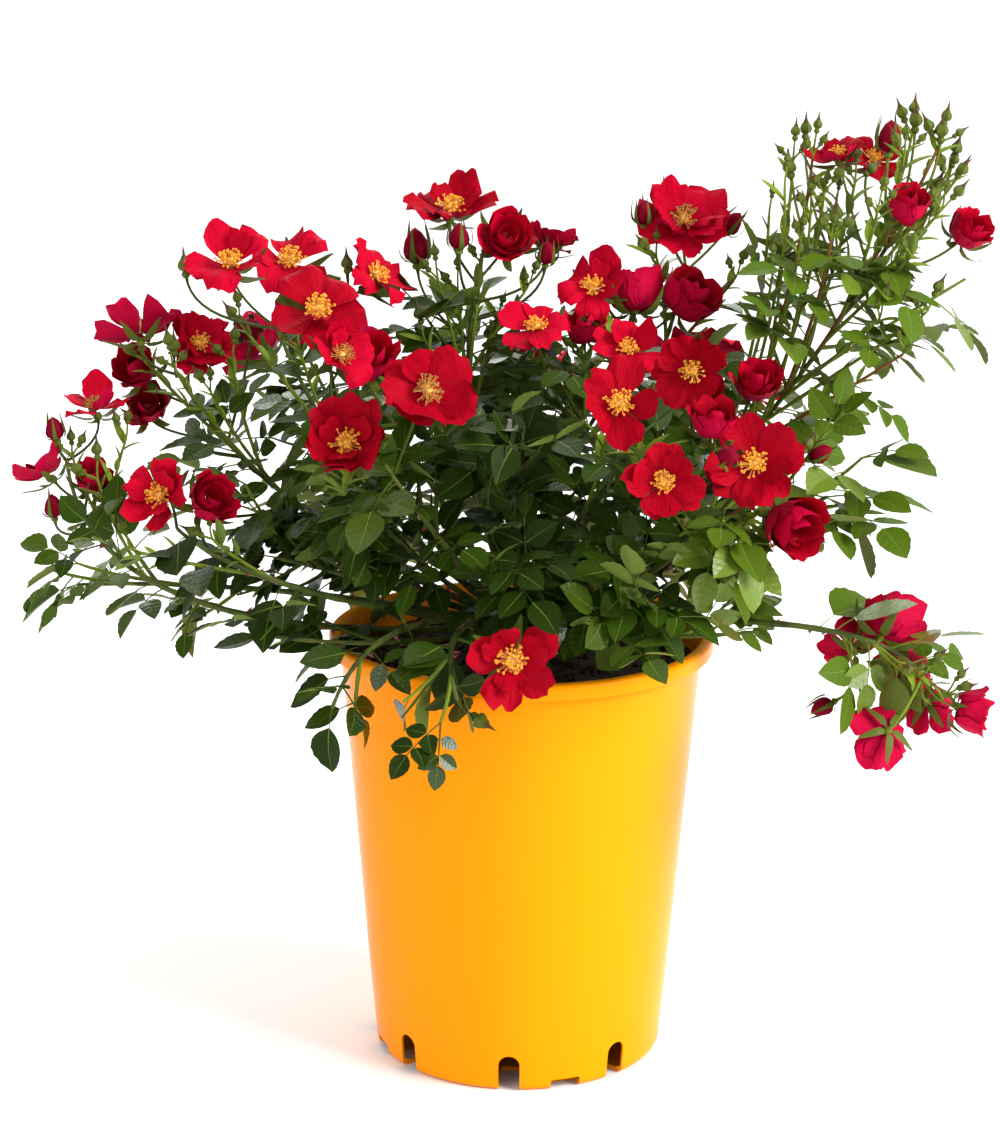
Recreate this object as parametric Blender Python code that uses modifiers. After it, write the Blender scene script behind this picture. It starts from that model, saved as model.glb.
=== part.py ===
"""Rose bush in its plastic container: pot, compost, crown, canes and flowering sprays.

Metres, +Z up. The origin is the middle of the pot's flat underside, and -Y is the
plant's front. The tables of the plant are written in millimetres.
"""

import math
import random
from collections import namedtuple

import bmesh
import bpy
from mathutils import Matrix, Quaternion, Vector
from mathutils.bvhtree import BVHTree

MM = 0.001
UP = Vector((0.0, 0.0, 1.0))
GOLDEN_ANGLE = math.radians(137.5)
GAP = 0.3 * MM

# ---------------------------------------------------------------- pot and compost
POT_HEIGHT = 226 * MM
RIM_RADIUS = 100 * MM
RIM_DROP = 8 * MM
RIM_ROLL = 2.5 * MM
WALL_TOP_RADIUS = 94 * MM
BASE_RADIUS = 76 * MM
FOOT_CORNER = 5 * MM
WALL = 1.6 * MM
FLOOR = 2.0 * MM
POT_SIDES = 36

SLOT_COUNT = 8
SLOT_TURN = math.radians(-3.2)
SLOT_WIDTH = 11 * MM
SLOT_HEIGHT = 20 * MM
SLOT_INNER_RADIUS = 50 * MM
NOTCH_COUNT = 4
NOTCH_TURN = math.radians(19.3)
NOTCH_WIDTH = 16 * MM
NOTCH_HEIGHT = 5.7 * MM
NOTCH_INNER_RADIUS = 66 * MM
CUTTER_OUTER_RADIUS = 90 * MM
CUTTER_BELOW = 5 * MM

COMPOST_TOP = 213 * MM
COMPOST_BOTTOM = 23 * MM
COMPOST_FLAT_RADIUS = 26 * MM
COMPOST_SINK = 4 * MM
COMPOST_BUMP = 1.5 * MM

# ---------------------------------------------------------------- wood and leaves
CROWN_CENTRE = Vector((0.0, 0.0, 228 * MM))
CROWN_RADIUS = 19 * MM
CANE_SIDES = 5
CANE_STEPS = 3
TWIG_SIDES = 3
TWIG_STEPS = 2
STEM_STEPS = 4
CANE_TIP_RADIUS = 2.1 * MM
CANE_GAP = 1.3 * GAP
STEM_TIP_RADIUS = 1.6 * MM
TWIG_RADIUS = 1.3 * MM
TWIG_TIP_RADIUS = 1.05 * MM
STALK_RADIUS = 1.0 * MM
STALK_STEPS = 2
STALK_STRAIGHT = 0.45
STEM_TAKEOFFS = 10
SHARP_TURN = 0.75
SHARP_TURN_COST = 1.5
SMOOTH_ANGLE = math.radians(35)
LEAF_BREADTH = 0.65
LEAF_THICKNESS = 1.3 * MM
LEAF_SINK = 0.5 * MM
LEAF_SHOULDER = -0.28
TWIG_LEAVES = 3
ARCH_CORNER = 0.48

# The growth rule. Twigs start in TWIG_SPAN of their stem and leaves in their own spans
# of the limb; each leans out by an angle within its spread (radians) and may turn
# TURN_SWAY either way round the limb. Lengths vary within the two ranges of shares.
TWIG_SPAN = (0.10, 0.82)
STEM_LEAF_SPAN = (0.05, 0.90)
TWIG_LEAF_SPAN = (0.25, 0.85)
TWIG_SPREAD = (math.radians(45), math.radians(65))
STEM_LEAF_SPREAD = (math.radians(55), math.radians(75))
TWIG_LEAF_SPREAD = (math.radians(50), math.radians(70))
END_LEAF_SPREAD = math.radians(14)
TURN_SWAY = 0.5
TWIG_LENGTHS = (0.75, 1.10)
LEAF_LENGTHS = (0.82, 1.08)

# A twig keeps TWIG_AIM of its own way and turns up by TWIG_RISE. A leaf keeps
# LEAF_RISE of its climb and hangs by LEAF_HANG; its face leans outward and sways.
TWIG_AIM = 0.8
TWIG_RISE = (0.1, 0.5)
LEAF_RISE = 0.8
LEAF_HANG = 0.12
LEAF_LEAN = 0.5
LEAF_SWAY = 0.35

# No twig or leaf stands in the air a bloom needs to be seen: a tube as wide as the
# bloom and OUTLOOK_LENGTH long, to the front, or to the back for a bloom behind. A
# bloom turned away from that side needs none.
OUTLOOK_LENGTH = 70 * MM
OUTLOOK_RISE = 0.25
BACK_BLOOM = 90

# A new twig or leaf keeps CLEARANCE to its neighbours and is tried ATTEMPTS times. Its
# end may lie ROOM_SLACK nearer to another mass's stem than to its own, and stays
# between the plant's furthest tips on the left and on the right.
CLEARANCE = 0.5 * MM
ATTEMPTS = 7
ROOM_SLACK = 12 * MM
REACH_LEFT = -270 * MM
REACH_RIGHT = 250 * MM

# A shoot leaves the crown towards bend and ends at tip (mm). The cane is its first
# part, up to the fraction enter; the mass's stem is the rest. leaves and twigs count
# what the seeded rule grows on the stem, twig is the length of a side twig, leaf the
# length of a leaf, and no twig or leaf ends below low (mm).
Shoot = namedtuple("Shoot", "name bend tip radius enter leaves twigs twig leaf low")

SHOOTS = [
    Shoot("spray_left_far", (-215, -70, 234), (-229, -31, 321), 2.3, 0.46, 3, 1, 40, 34, 236),
    Shoot("leaves_left_tip", (-136, -6, 254), (-231, 4, 247), 2.0, 0.40, 5, 2, 40, 36, 220),
    Shoot("spray_left_low", (-132, -86, 266), (-168, -84, 300), 2.2, 0.42, 4, 1, 42, 36, 246),
    Shoot("spray_left_mid", (-140, 48, 275), (-178, 18, 356), 2.3, 0.38, 4, 2, 45, 40, 244),
    Shoot("spray_left_high", (-92, 4, 296), (-124, -12, 386), 2.3, 0.38, 5, 1, 40, 36, 244),
    Shoot("spray_left_inner", (-50, -14, 312), (-80, -30, 366), 2.2, 0.36, 5, 2, 45, 42, 240),
    Shoot("spray_centre_left", (-36, -62, 280), (-66, -98, 336), 2.3, 0.36, 5, 2, 45, 42, 240),
    Shoot("spray_top_centre", (-38, 24, 320), (-25, 31, 403), 2.2, 0.40, 5, 2, 45, 42, 240),
    Shoot("spray_right_high", (18, 4, 320), (48, 6, 372), 2.3, 0.38, 5, 2, 45, 42, 240),
    Shoot("spray_centre_right", (22, -42, 290), (56, -66, 344), 2.2, 0.36, 5, 1, 40, 38, 240),
    Shoot("spray_right_top", (62, 34, 316), (84, 44, 408), 2.2, 0.40, 5, 2, 45, 44, 240),
    Shoot("spray_right_front", (80, -58, 272), (104, -84, 322), 2.4, 0.36, 5, 2, 45, 44, 240),
    Shoot("spray_far_right", (114, 26, 296), (184, 20, 424), 2.6, 0.46, 5, 3, 50, 44, 300),
    Shoot("leaves_right", (118, -14, 282), (152, -40, 308), 2.1, 0.44, 5, 3, 38, 42, 250),
    Shoot("spray_right_low", (178, -72, 262), (200, -66, 222), 2.3, 0.50, 6, 0, 40, 40, 186),
    Shoot("spray_front_low", (-44, -118, 272), (-30, -130, 228), 2.1, 0.44, 5, 1, 40, 34, 182),
    Shoot("leaves_front_left", (-74, -92, 266), (-91, -116, 219), 1.9, 0.44, 5, 0, 40, 32, 182),
    Shoot("foliage_left", (-86, -34, 264), (-124, -32, 272), 2.1, 0.26, 5, 3, 50, 36, 232),
    Shoot("foliage_left_low", (-62, -68, 234), (-122, -66, 240), 1.8, 0.0, 5, 2, 46, 34, 220),
    Shoot("foliage_centre", (-6, -24, 290), (-10, -56, 342), 2.0, 0.0, 5, 5, 58, 38, 225),
    Shoot("foliage_centre_left", (-52, -36, 266), (-78, -62, 308), 1.9, 0.0, 5, 4, 55, 36, 225),
    Shoot("foliage_front", (-6, -66, 262), (6, -92, 286), 1.8, 0.0, 6, 3, 50, 38, 230),
    Shoot("foliage_right", (42, -62, 254), (62, -88, 284), 1.9, 0.0, 5, 4, 52, 40, 234),
    Shoot("foliage_right_low", (66, -56, 236), (118, -62, 244), 1.8, 0.0, 5, 3, 50, 36, 232),
    Shoot("foliage_right_mid", (62, -16, 284), (92, -30, 318), 2.0, 0.0, 5, 4, 55, 38, 236),
    Shoot("spray_back_left", (-84, 84, 282), (-118, 118, 346), 2.3, 0.34, 5, 3, 52, 46, 220),
    Shoot("spray_back_centre", (4, 104, 280), (6, 160, 316), 2.3, 0.34, 5, 3, 50, 46, 220),
    Shoot("spray_back_right", (74, 86, 276), (106, 130, 326), 2.3, 0.34, 5, 3, 50, 46, 220),
    Shoot("foliage_back_left", (-60, 104, 244), (-104, 168, 262), 2.1, 0.34, 5, 3, 52, 46, 212),
    Shoot("foliage_back_right", (58, 112, 244), (96, 176, 262), 2.1, 0.34, 5, 3, 52, 46, 212),
    Shoot("foliage_back_centre", (-4, 48, 290), (-6, 92, 336), 2.0, 0.0, 5, 5, 56, 44, 220),
]

# A flower's place is its middle (mm). turn is where it faces, from the front towards
# +X, and lift is how far it looks up (degrees). width is across the petals (mm).
Flower = namedtuple("Flower", "form x y z turn lift width")

FLOWERS = {
    "spray_left_far": [
        Flower("open", -240, -30, 316, -110, 48, 38),
        Flower("open", -215, -20, 347, -25, 80, 37),
        Flower("cup", -217, -30, 311, 30, 55, 22),
        Flower("bud", -234, -34, 336, -20, 75, 10),
        Flower("bud", -236, -34, 296, -20, 80, 10),
    ],
    "spray_left_low": [
        Flower("open", -175, -92, 318, -20, 22, 44),
        Flower("cup", -153, -80, 313, 40, 35, 26),
    ],
    "spray_left_mid": [
        Flower("open", -196, 8, 381, -165, 52, 44),
        Flower("open", -168, 26, 371, 30, 30, 38),
        Flower("cup", -201, 34, 355, -20, 40, 26),
        Flower("cup", -197, 38, 334, 0, 40, 24),
        Flower("bud", -143, 36, 376, 0, 20, 14),
        Flower("bud", -176, -14, 377, 0, 85, 7),
    ],
    "spray_left_high": [
        Flower("open", -147, -12, 419, -10, 58, 46),
        Flower("open", -119, 14, 416, 0, 54, 48),
        Flower("open", -101, -44, 401, 5, 46, 50),
        Flower("bud", -170, -10, 417, -20, 80, 8),
    ],
    "spray_left_inner": [
        Flower("open", -75, 2, 411, 60, 40, 44),
        Flower("open", -88, -73, 384, 34, 32, 38),
        Flower("cup", -75, -48, 377, 10, 60, 30),
        Flower("bud", -90, 8, 416, -10, 80, 7),
    ],
    "spray_centre_left": [
        Flower("open", -45, -116, 376, 10, 26, 46),
        Flower("open", -84, -106, 348, -4, 34, 48),
    ],
    "spray_top_centre": [
        Flower("open", -38, 34, 441, 10, 66, 47),
        Flower("cup", -9, 18, 428, 10, 35, 29),
        Flower("open", 13, 40, 422, 150, 66, 34),
        Flower("bud", -56, 44, 416, -20, 80, 15),
        Flower("bud", -33, 4, 428, 0, 85, 11),
        Flower("bud", 11, 14, 419, 15, 70, 10),
    ],
    "spray_right_high": [
        Flower("open", 35, 12, 404, -8, 55, 42),
        Flower("open", 6, -12, 388, -15, 64, 38),
        Flower("cup", 57, 22, 398, 175, 60, 32),
        Flower("cup", 84, 20, 397, 60, 45, 34),
        Flower("open", 52, -24, 379, 5, 52, 38),
        Flower("cup", 31, 2, 384, 0, 70, 24),
    ],
    "spray_centre_right": [
        Flower("open", 46, -84, 364, 0, 20, 46),
        Flower("open", 83, -54, 374, -20, 22, 41),
    ],
    "spray_right_top": [
        Flower("open", 82, 42, 435, 0, 50, 49),
        Flower("bud", 61, 40, 436, -20, 80, 10),
        Flower("bud", 106, 50, 430, 60, 50, 11),
        Flower("bud", 72, 60, 446, 0, 85, 7),
    ],
    "spray_right_front": [
        Flower("cup", 116, -34, 364, 0, 60, 26),
        Flower("cup", 92, -84, 355, -5, 70, 26),
        Flower("open", 111, -97, 338, -10, 20, 45),
        Flower("cup", 130, -90, 306, 35, -8, 34),
        Flower("open", 67, -112, 332, 5, 20, 39),
        Flower("bud", 96, -126, 348, 5, 20, 11),
        Flower("bud", 143, -70, 336, 70, 30, 10),
    ],
    "spray_far_right": [
        Flower("open", 157, 14, 472, -30, 58, 33),
        Flower("open", 178, 38, 467, 20, 48, 34),
        Flower("bud", 182, 8, 479, 10, 80, 13),
        Flower("cup", 191, -4, 448, 20, 66, 25),
        Flower("bud", 210, 34, 454, 40, 60, 9),
        Flower("cup", 225, 18, 433, 50, 45, 25),
        Flower("bud", 133, 12, 466, -30, 70, 8),
        Flower("bud", 143, 40, 482, 0, 85, 7),
        Flower("bud", 197, 26, 488, 0, 85, 8),
        Flower("bud", 209, 16, 484, 10, 80, 8),
        Flower("bud", 219, 30, 474, 40, 70, 7),
        Flower("bud", 219, 8, 466, 60, 60, 7),
        Flower("bud", 156, 2, 444, -10, 80, 8),
    ],
    "spray_right_low": [
        Flower("cup", 184, -48, 243, 150, 25, 34),
        Flower("open", 166, -42, 230, -160, 5, 34),
        Flower("cup", 194, -44, 218, 170, -10, 30),
        Flower("open", 207, -50, 203, 150, -30, 32),
        Flower("cup", 223, -74, 208, 75, -10, 25),
        Flower("open", 180, -78, 196, -150, -40, 36),
        Flower("bud", 154, -56, 204, -70, -20, 10),
        Flower("bud", 189, -90, 234, 0, 30, 7),
    ],
    "spray_front_low": [
        Flower("open", -4, -128, 248, 2, 12, 50),
        Flower("bud", -19, -124, 216, 40, -10, 9),
    ],
    "spray_back_left": [
        Flower("open", -116, 132, 366, 200, 40, 46),
        Flower("open", -146, 118, 350, -130, 35, 44),
        Flower("cup", -96, 142, 352, 170, 30, 30),
        Flower("bud", -130, 146, 350, 190, 60, 9),
    ],
    "spray_back_centre": [
        Flower("open", 4, 178, 332, 180, 45, 48),
        Flower("open", -26, 182, 312, -160, 30, 42),
        Flower("cup", 34, 178, 316, 150, 35, 30),
        Flower("bud", 0, 192, 306, 180, 40, 9),
    ],
    "spray_back_right": [
        Flower("open", 100, 150, 346, 165, 45, 46),
        Flower("open", 130, 138, 326, 110, 30, 42),
        Flower("cup", 78, 158, 336, 180, 35, 30),
        Flower("bud", 116, 158, 326, 150, 40, 9),
    ],
}

MATERIALS = {
    "pot": ("pot_plastic", (0.95, 0.36, 0.01, 1.0), 0.22),
    "compost": ("compost", (0.035, 0.024, 0.018, 1.0), 0.95),
    "bark": ("bark", (0.13, 0.17, 0.05, 1.0), 0.6),
    "leaf": ("leaf", (0.04, 0.12, 0.03, 1.0), 0.4),
    "petal": ("petal", (0.62, 0.01, 0.03, 1.0), 0.5),
}


# ---------------------------------------------------------------- scene helpers
def clear_scene():
    for old in list(bpy.data.objects):
        bpy.data.objects.remove(old, do_unlink=True)


def new_collection(name):
    collection = bpy.data.collections.new(name)
    bpy.context.scene.collection.children.link(collection)
    return collection


def make_material(key):
    name, colour, roughness = MATERIALS[key]
    material = bpy.data.materials.get(name)
    if material is None:
        material = bpy.data.materials.new(name)
        material.use_nodes = True
        shader = material.node_tree.nodes["Principled BSDF"]
        shader.inputs["Base Color"].default_value = colour
        shader.inputs["Roughness"].default_value = roughness
        material.diffuse_color = colour
    return material


def object_from_bmesh(bm, name, collection):
    bm.normal_update()
    bmesh.ops.recalc_face_normals(bm, faces=bm.faces)
    mesh = bpy.data.meshes.new(name)
    bm.to_mesh(mesh)
    bm.free()
    made = bpy.data.objects.new(name, mesh)
    collection.objects.link(made)
    return made


def shade_round(mesh):
    """Smooth shading that keeps the real corners."""
    mesh.shade_smooth()
    mesh.set_sharp_from_angle(angle=SMOOTH_ANGLE)


def evaluated_mesh(source):
    graph = bpy.context.evaluated_depsgraph_get()
    return bpy.data.meshes.new_from_object(source.evaluated_get(graph))


# ---------------------------------------------------------------- pot
def turned_object(name, profile, sides, collection):
    """Turn a profile that starts and ends on the axis into a solid."""
    bm = bmesh.new()
    points = [bm.verts.new((radius, 0.0, height)) for radius, height in profile]
    for first, second in zip(points, points[1:]):
        bm.edges.new((first, second))
    mesh = bpy.data.meshes.new(name)
    bm.to_mesh(mesh)
    bm.free()
    turned = bpy.data.objects.new(name, mesh)
    collection.objects.link(turned)
    screw = turned.modifiers.new("turn", "SCREW")
    screw.steps = sides
    screw.render_steps = sides
    screw.use_merge_vertices = True
    screw.merge_threshold = 0.01 * MM
    turned.data = evaluated_mesh(turned)
    turned.modifiers.clear()
    shade_round(turned.data)
    return turned


def wall_radius(height):
    """Outer radius of the tapering wall at a height."""
    share = height / (POT_HEIGHT - RIM_DROP)
    return BASE_RADIUS + (WALL_TOP_RADIUS - BASE_RADIUS) * share


def pot_profile():
    """Up the inside from the floor, over the rolled rim and down the outside."""
    shoulder = POT_HEIGHT - RIM_DROP
    inside = [
        (0.0, FLOOR),
        (wall_radius(0.0) - FOOT_CORNER, FLOOR),
        (wall_radius(FOOT_CORNER) - WALL, FOOT_CORNER),
        (wall_radius(shoulder) - WALL, shoulder),
        (RIM_RADIUS - 2 * RIM_ROLL, POT_HEIGHT),
    ]
    outside = [
        (RIM_RADIUS - RIM_ROLL, POT_HEIGHT),
        (RIM_RADIUS, POT_HEIGHT - RIM_ROLL),
        (RIM_RADIUS, shoulder + RIM_ROLL),
        (wall_radius(shoulder), shoulder),
        (wall_radius(FOOT_CORNER), FOOT_CORNER),
        (wall_radius(0.0) - FOOT_CORNER, 0.0),
        (0.0, 0.0),
    ]
    return inside + outside


def drain_cutter(name, turn, width, height, inner_radius, is_arched, cutters):
    """A block through the wall and the underside's edge, arched on top or flat."""
    depth = CUTTER_OUTER_RADIUS - inner_radius
    full_height = height + CUTTER_BELOW
    place = Matrix.Rotation(math.pi + turn, 4, "Z") @ Matrix.Translation(
        (0.0, inner_radius + depth / 2, height - full_height / 2)
    )
    bm = bmesh.new()
    bmesh.ops.create_cube(bm, size=1.0, matrix=Matrix.Diagonal((width, depth, full_height, 1.0)))
    if is_arched:
        top_edges = [
            edge for edge in bm.edges
            if all(vertex.co.z > 0 for vertex in edge.verts)
            and edge.verts[0].co.x * edge.verts[1].co.x > 0
        ]
        bmesh.ops.bevel(
            bm, geom=top_edges, offset=ARCH_CORNER * width, segments=3,
            profile=0.5, affect="EDGES", material=-1,
        )
    bm.transform(place)
    cutter = object_from_bmesh(bm, name, cutters)
    cutter.hide_render = True
    cutter.display_type = "WIRE"


def build_pot(parts, cutters):
    pot = turned_object("pot", pot_profile(), POT_SIDES, parts)
    for index in range(SLOT_COUNT):
        turn = SLOT_TURN + index * math.tau / SLOT_COUNT
        drain_cutter(
            "slot_cutter_%d" % (index + 1), turn, SLOT_WIDTH, SLOT_HEIGHT,
            SLOT_INNER_RADIUS, True, cutters,
        )
    for index in range(NOTCH_COUNT):
        turn = NOTCH_TURN + index * math.tau / NOTCH_COUNT
        drain_cutter(
            "notch_cutter_%d" % (index + 1), turn, NOTCH_WIDTH, NOTCH_HEIGHT,
            NOTCH_INNER_RADIUS, False, cutters,
        )
    cut = pot.modifiers.new("drain slots", "BOOLEAN")
    cut.operation = "DIFFERENCE"
    cut.operand_type = "COLLECTION"
    cut.collection = cutters
    cut.solver = "EXACT"
    pot.data.materials.append(make_material("pot"))
    return pot


def build_compost(parts):
    """The root ball's top: flat round the crown and uneven towards the wall."""
    bottom_radius = wall_radius(COMPOST_BOTTOM) - WALL - GAP
    edge_height = COMPOST_TOP - COMPOST_SINK
    edge_radius = wall_radius(edge_height) - WALL - GAP
    profile = [
        (0.0, COMPOST_BOTTOM),
        (bottom_radius, COMPOST_BOTTOM),
        (edge_radius, edge_height),
        ((edge_radius + COMPOST_FLAT_RADIUS) / 2, COMPOST_TOP - COMPOST_SINK / 3),
        (COMPOST_FLAT_RADIUS, COMPOST_TOP),
        (0.0, COMPOST_TOP),
    ]
    bm = bmesh.new()
    points = [bm.verts.new((radius, 0.0, height)) for radius, height in profile]
    edges = [bm.edges.new(pair) for pair in zip(points, points[1:])]
    bmesh.ops.spin(
        bm, geom=points + edges, cent=(0.0, 0.0, 0.0), axis=UP,
        angle=math.tau, steps=POT_SIDES, use_merge=True,
    )
    bmesh.ops.remove_doubles(bm, verts=bm.verts, dist=0.01 * MM)
    rng = random.Random("compost")
    for vertex in bm.verts:
        is_top = vertex.co.z > COMPOST_BOTTOM + MM
        if is_top and COMPOST_FLAT_RADIUS + MM < vertex.co.xy.length < edge_radius - MM:
            vertex.co.z += rng.uniform(-COMPOST_BUMP, COMPOST_BUMP)
    compost = object_from_bmesh(bm, "compost", parts)
    shade_round(compost.data)
    compost.data.materials.append(make_material("compost"))
    return compost


# ---------------------------------------------------------------- limbs
def curve_point(start, bend, end, share):
    return start.lerp(bend, share).lerp(bend.lerp(end, share), share)


def curve_heading(start, bend, end, share):
    return (bend - start).lerp(end - bend, share).normalized()


def curve_frames(start, bend, end, first, last, steps):
    """Frames along part of a quadratic curve: Z follows it, and the twist is least."""
    frames = []
    for step in range(steps + 1):
        share = first + (last - first) * step / steps
        heading = curve_heading(start, bend, end, share)
        if step == 0:
            turn = heading.to_track_quat("Z", "Y")
        else:
            turn = old_heading.rotation_difference(heading) @ turn
        old_heading = heading
        frames.append(Matrix.LocRotScale(curve_point(start, bend, end, share), turn, None))
    return frames


def sweep(frames, radii, sides):
    """A tapering rod with flat ends: one polygon extruded from frame to frame.

    Gives the mesh and its end face.
    """
    bm = bmesh.new()
    sized = [frame @ Matrix.Scale(radius, 4) for frame, radius in zip(frames, radii)]
    bmesh.ops.create_circle(bm, cap_ends=True, segments=sides, radius=1.0, matrix=sized[0])
    end_face = bm.faces[:][0]
    for previous, current in zip(sized, sized[1:]):
        end_face = extrude_end(bm, end_face)
        bmesh.ops.transform(bm, matrix=current @ previous.inverted(), verts=end_face.verts)
    return bm, end_face


def extrude_end(bm, end_face):
    """Extrude the end of a rod and give its new end; only the first cap is kept behind."""
    is_first = len(bm.faces) == 1
    grown = bmesh.ops.extrude_face_region(bm, geom=[end_face])["geom"]
    if not is_first:
        bm.faces.remove(end_face)
    return next(item for item in grown if isinstance(item, bmesh.types.BMFace))


def taper(first, last, steps):
    return [first + (last - first) * step / steps for step in range(steps + 1)]


class Arch:
    """The line a shoot follows, from just clear of the crown, past its bend, to its tip."""

    def __init__(self, shoot):
        self.shoot = shoot
        self.bend = Vector(shoot.bend) * MM
        self.tip = Vector(shoot.tip) * MM
        away = (self.bend - CROWN_CENTRE).normalized()
        self.foot = CROWN_CENTRE + away * (CROWN_RADIUS + GAP)
        length = (self.bend - self.foot).length + (self.tip - self.bend).length
        has_cane = shoot.enter > 0
        self.stem_from = shoot.enter + (CANE_GAP / length if has_cane else 0.0)

    def point(self, share):
        return curve_point(self.foot, self.bend, self.tip, share)

    def heading(self, share):
        return curve_heading(self.foot, self.bend, self.tip, share)

    def frames(self, first, last, steps):
        return curve_frames(self.foot, self.bend, self.tip, first, last, steps)

    def stem_share(self, along):
        """Where a fraction along the stem lies on the whole shoot."""
        return self.stem_from + (1.0 - self.stem_from) * along

    def cane_name(self):
        return "cane_" + self.shoot.name

    def cane(self):
        radii = taper(self.shoot.radius * MM, CANE_TIP_RADIUS, CANE_STEPS)
        return sweep(self.frames(0.0, self.shoot.enter, CANE_STEPS), radii, CANE_SIDES)[0]

    def stem(self):
        thick = CANE_TIP_RADIUS if self.shoot.enter > 0 else self.shoot.radius * MM
        radii = taper(thick, STEM_TIP_RADIUS, STEM_STEPS)
        return sweep(self.frames(self.stem_from, 1.0, STEM_STEPS), radii, TWIG_SIDES)[0]


def build_crown(parts):
    """The knobbly foot that every cane rises from, cut flat where it meets the compost."""
    bm = bmesh.new()
    place = Matrix.Translation(CROWN_CENTRE)
    bmesh.ops.create_uvsphere(bm, u_segments=10, v_segments=6, radius=CROWN_RADIUS, matrix=place)
    bmesh.ops.bisect_plane(
        bm, geom=bm.verts[:] + bm.edges[:] + bm.faces[:],
        plane_co=(0.0, 0.0, COMPOST_TOP + GAP), plane_no=UP, clear_inner=True,
    )
    bmesh.ops.holes_fill(bm, edges=bm.edges, sides=0)
    crown = object_from_bmesh(bm, "crown", parts)
    shade_round(crown.data)
    crown.data.materials.append(make_material("bark"))
    return crown


# ---------------------------------------------------------------- flowers
# Sides, then rings from the hip to the throat as (height, radius) shares of half the
# width, then the height of the middle. Each corner of an open flower's rim is a petal.
FLOWER_FORMS = {
    "open": (5, [(-0.42, 0.11), (0.26, 1.0)], 0.02),
    "cup": (5, [(-0.62, 0.18), (-0.15, 0.80), (0.85, 0.96)], 0.20),
    "bud": (4, [(-1.20, 0.26), (-0.10, 1.0)], 1.90),
}


def flower_frame(flower):
    """Frame at the flower's middle whose Z is the way it faces."""
    turn = math.radians(flower.turn)
    lift = math.radians(flower.lift)
    facing = Vector((math.sin(turn), -math.cos(turn), math.tan(lift))).normalized()
    place = Vector((flower.x, flower.y, flower.z)) * MM
    return Matrix.LocRotScale(place, facing.to_track_quat("Z", "Y"), None)


def stalk_curve(arch, flower):
    """From the stem point that suits the flower best, up to its hip from behind."""
    frame = flower_frame(flower)
    facing = frame.to_3x3() @ UP
    lowest = FLOWER_FORMS[flower.form][1][0][0]
    hip = frame.translation + facing * (lowest * flower.width / 2 * MM)
    choices = [arch.stem_share(step / STEM_TAKEOFFS) for step in range(2, STEM_TAKEOFFS + 1)]
    start = arch.point(min(choices, key=lambda share: stalk_cost(arch, share, hip)))
    return start, hip - facing * (STALK_STRAIGHT * (hip - start).length), hip


def stalk_cost(arch, share, hip):
    """Length of a stalk from this point of the stem, more where it would turn back."""
    way = hip - arch.point(share)
    straightness = way.normalized().dot(arch.heading(share))
    return way.length * (1.0 + SHARP_TURN_COST * max(0.0, SHARP_TURN - straightness))


def flower_body(arch, flower):
    """Stalk and petals in one sweep: the stalk swells into the hip and opens as the flower."""
    sides, rings, middle = FLOWER_FORMS[flower.form]
    half = flower.width / 2 * MM
    frames = curve_frames(*stalk_curve(arch, flower), 0.0, 1.0, STALK_STEPS)
    radii = [STALK_RADIUS] * STALK_STEPS
    hip = frames.pop()
    for height, radius in rings:
        frames.append(hip @ Matrix.Translation((0.0, 0.0, (height - rings[0][0]) * half)))
        radii.append(radius * half)
    bm, end_face = sweep(frames, radii, sides)
    top = bmesh.ops.poke(bm, faces=[end_face])["verts"][0]
    top.co = hip @ Vector((0.0, 0.0, (middle - rings[0][0]) * half))
    return bm


# ---------------------------------------------------------------- twigs and leaves
Leaf = namedtuple("Leaf", "root heading face_up length")


def place_in(span, share):
    first, last = span
    return first + (last - first) * share


def lean_out(heading, turn, spread):
    """A direction that leans away from a limb by spread, at a turn round the limb."""
    across = heading.orthogonal().normalized()
    across.rotate(Quaternion(heading, turn))
    return heading * math.cos(spread) + across * math.sin(spread)


def twig_curve(arch, index, attempt):
    """Rule for a side twig: set spirally round the stem, leaning out and turning up."""
    rng = random.Random("%s twig %d %d" % (arch.shoot.name, index, attempt))
    along = place_in(TWIG_SPAN, (index + rng.random()) / arch.shoot.twigs)
    turn = index * GOLDEN_ANGLE + rng.uniform(-TURN_SWAY, TURN_SWAY) + attempt
    length = arch.shoot.twig * MM * rng.uniform(*TWIG_LENGTHS)
    share = arch.stem_share(along)
    start = arch.point(share)
    away = lean_out(arch.heading(share), turn, rng.uniform(*TWIG_SPREAD))
    bend = start + away * (length / 2)
    onward = away * TWIG_AIM + UP * rng.uniform(*TWIG_RISE)
    end = bend + onward.normalized() * (length / 2)
    return start, bend, end


def leaf_at(rng, length, root, heading, turn, spread):
    """A leaf leaning out of a limb, its face turned up and away from the plant's middle."""
    away = lean_out(heading, turn, spread)
    away.z = away.z * LEAF_RISE - LEAF_HANG
    outward = Vector((root.x, root.y, 0.0)).normalized()
    sway = Vector((rng.uniform(-1, 1), rng.uniform(-1, 1), rng.uniform(-1, 1)))
    face_up = (UP + outward * LEAF_LEAN + sway * LEAF_SWAY).normalized()
    return Leaf(root, away.normalized(), face_up, length * MM * rng.uniform(*LEAF_LENGTHS))


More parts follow.
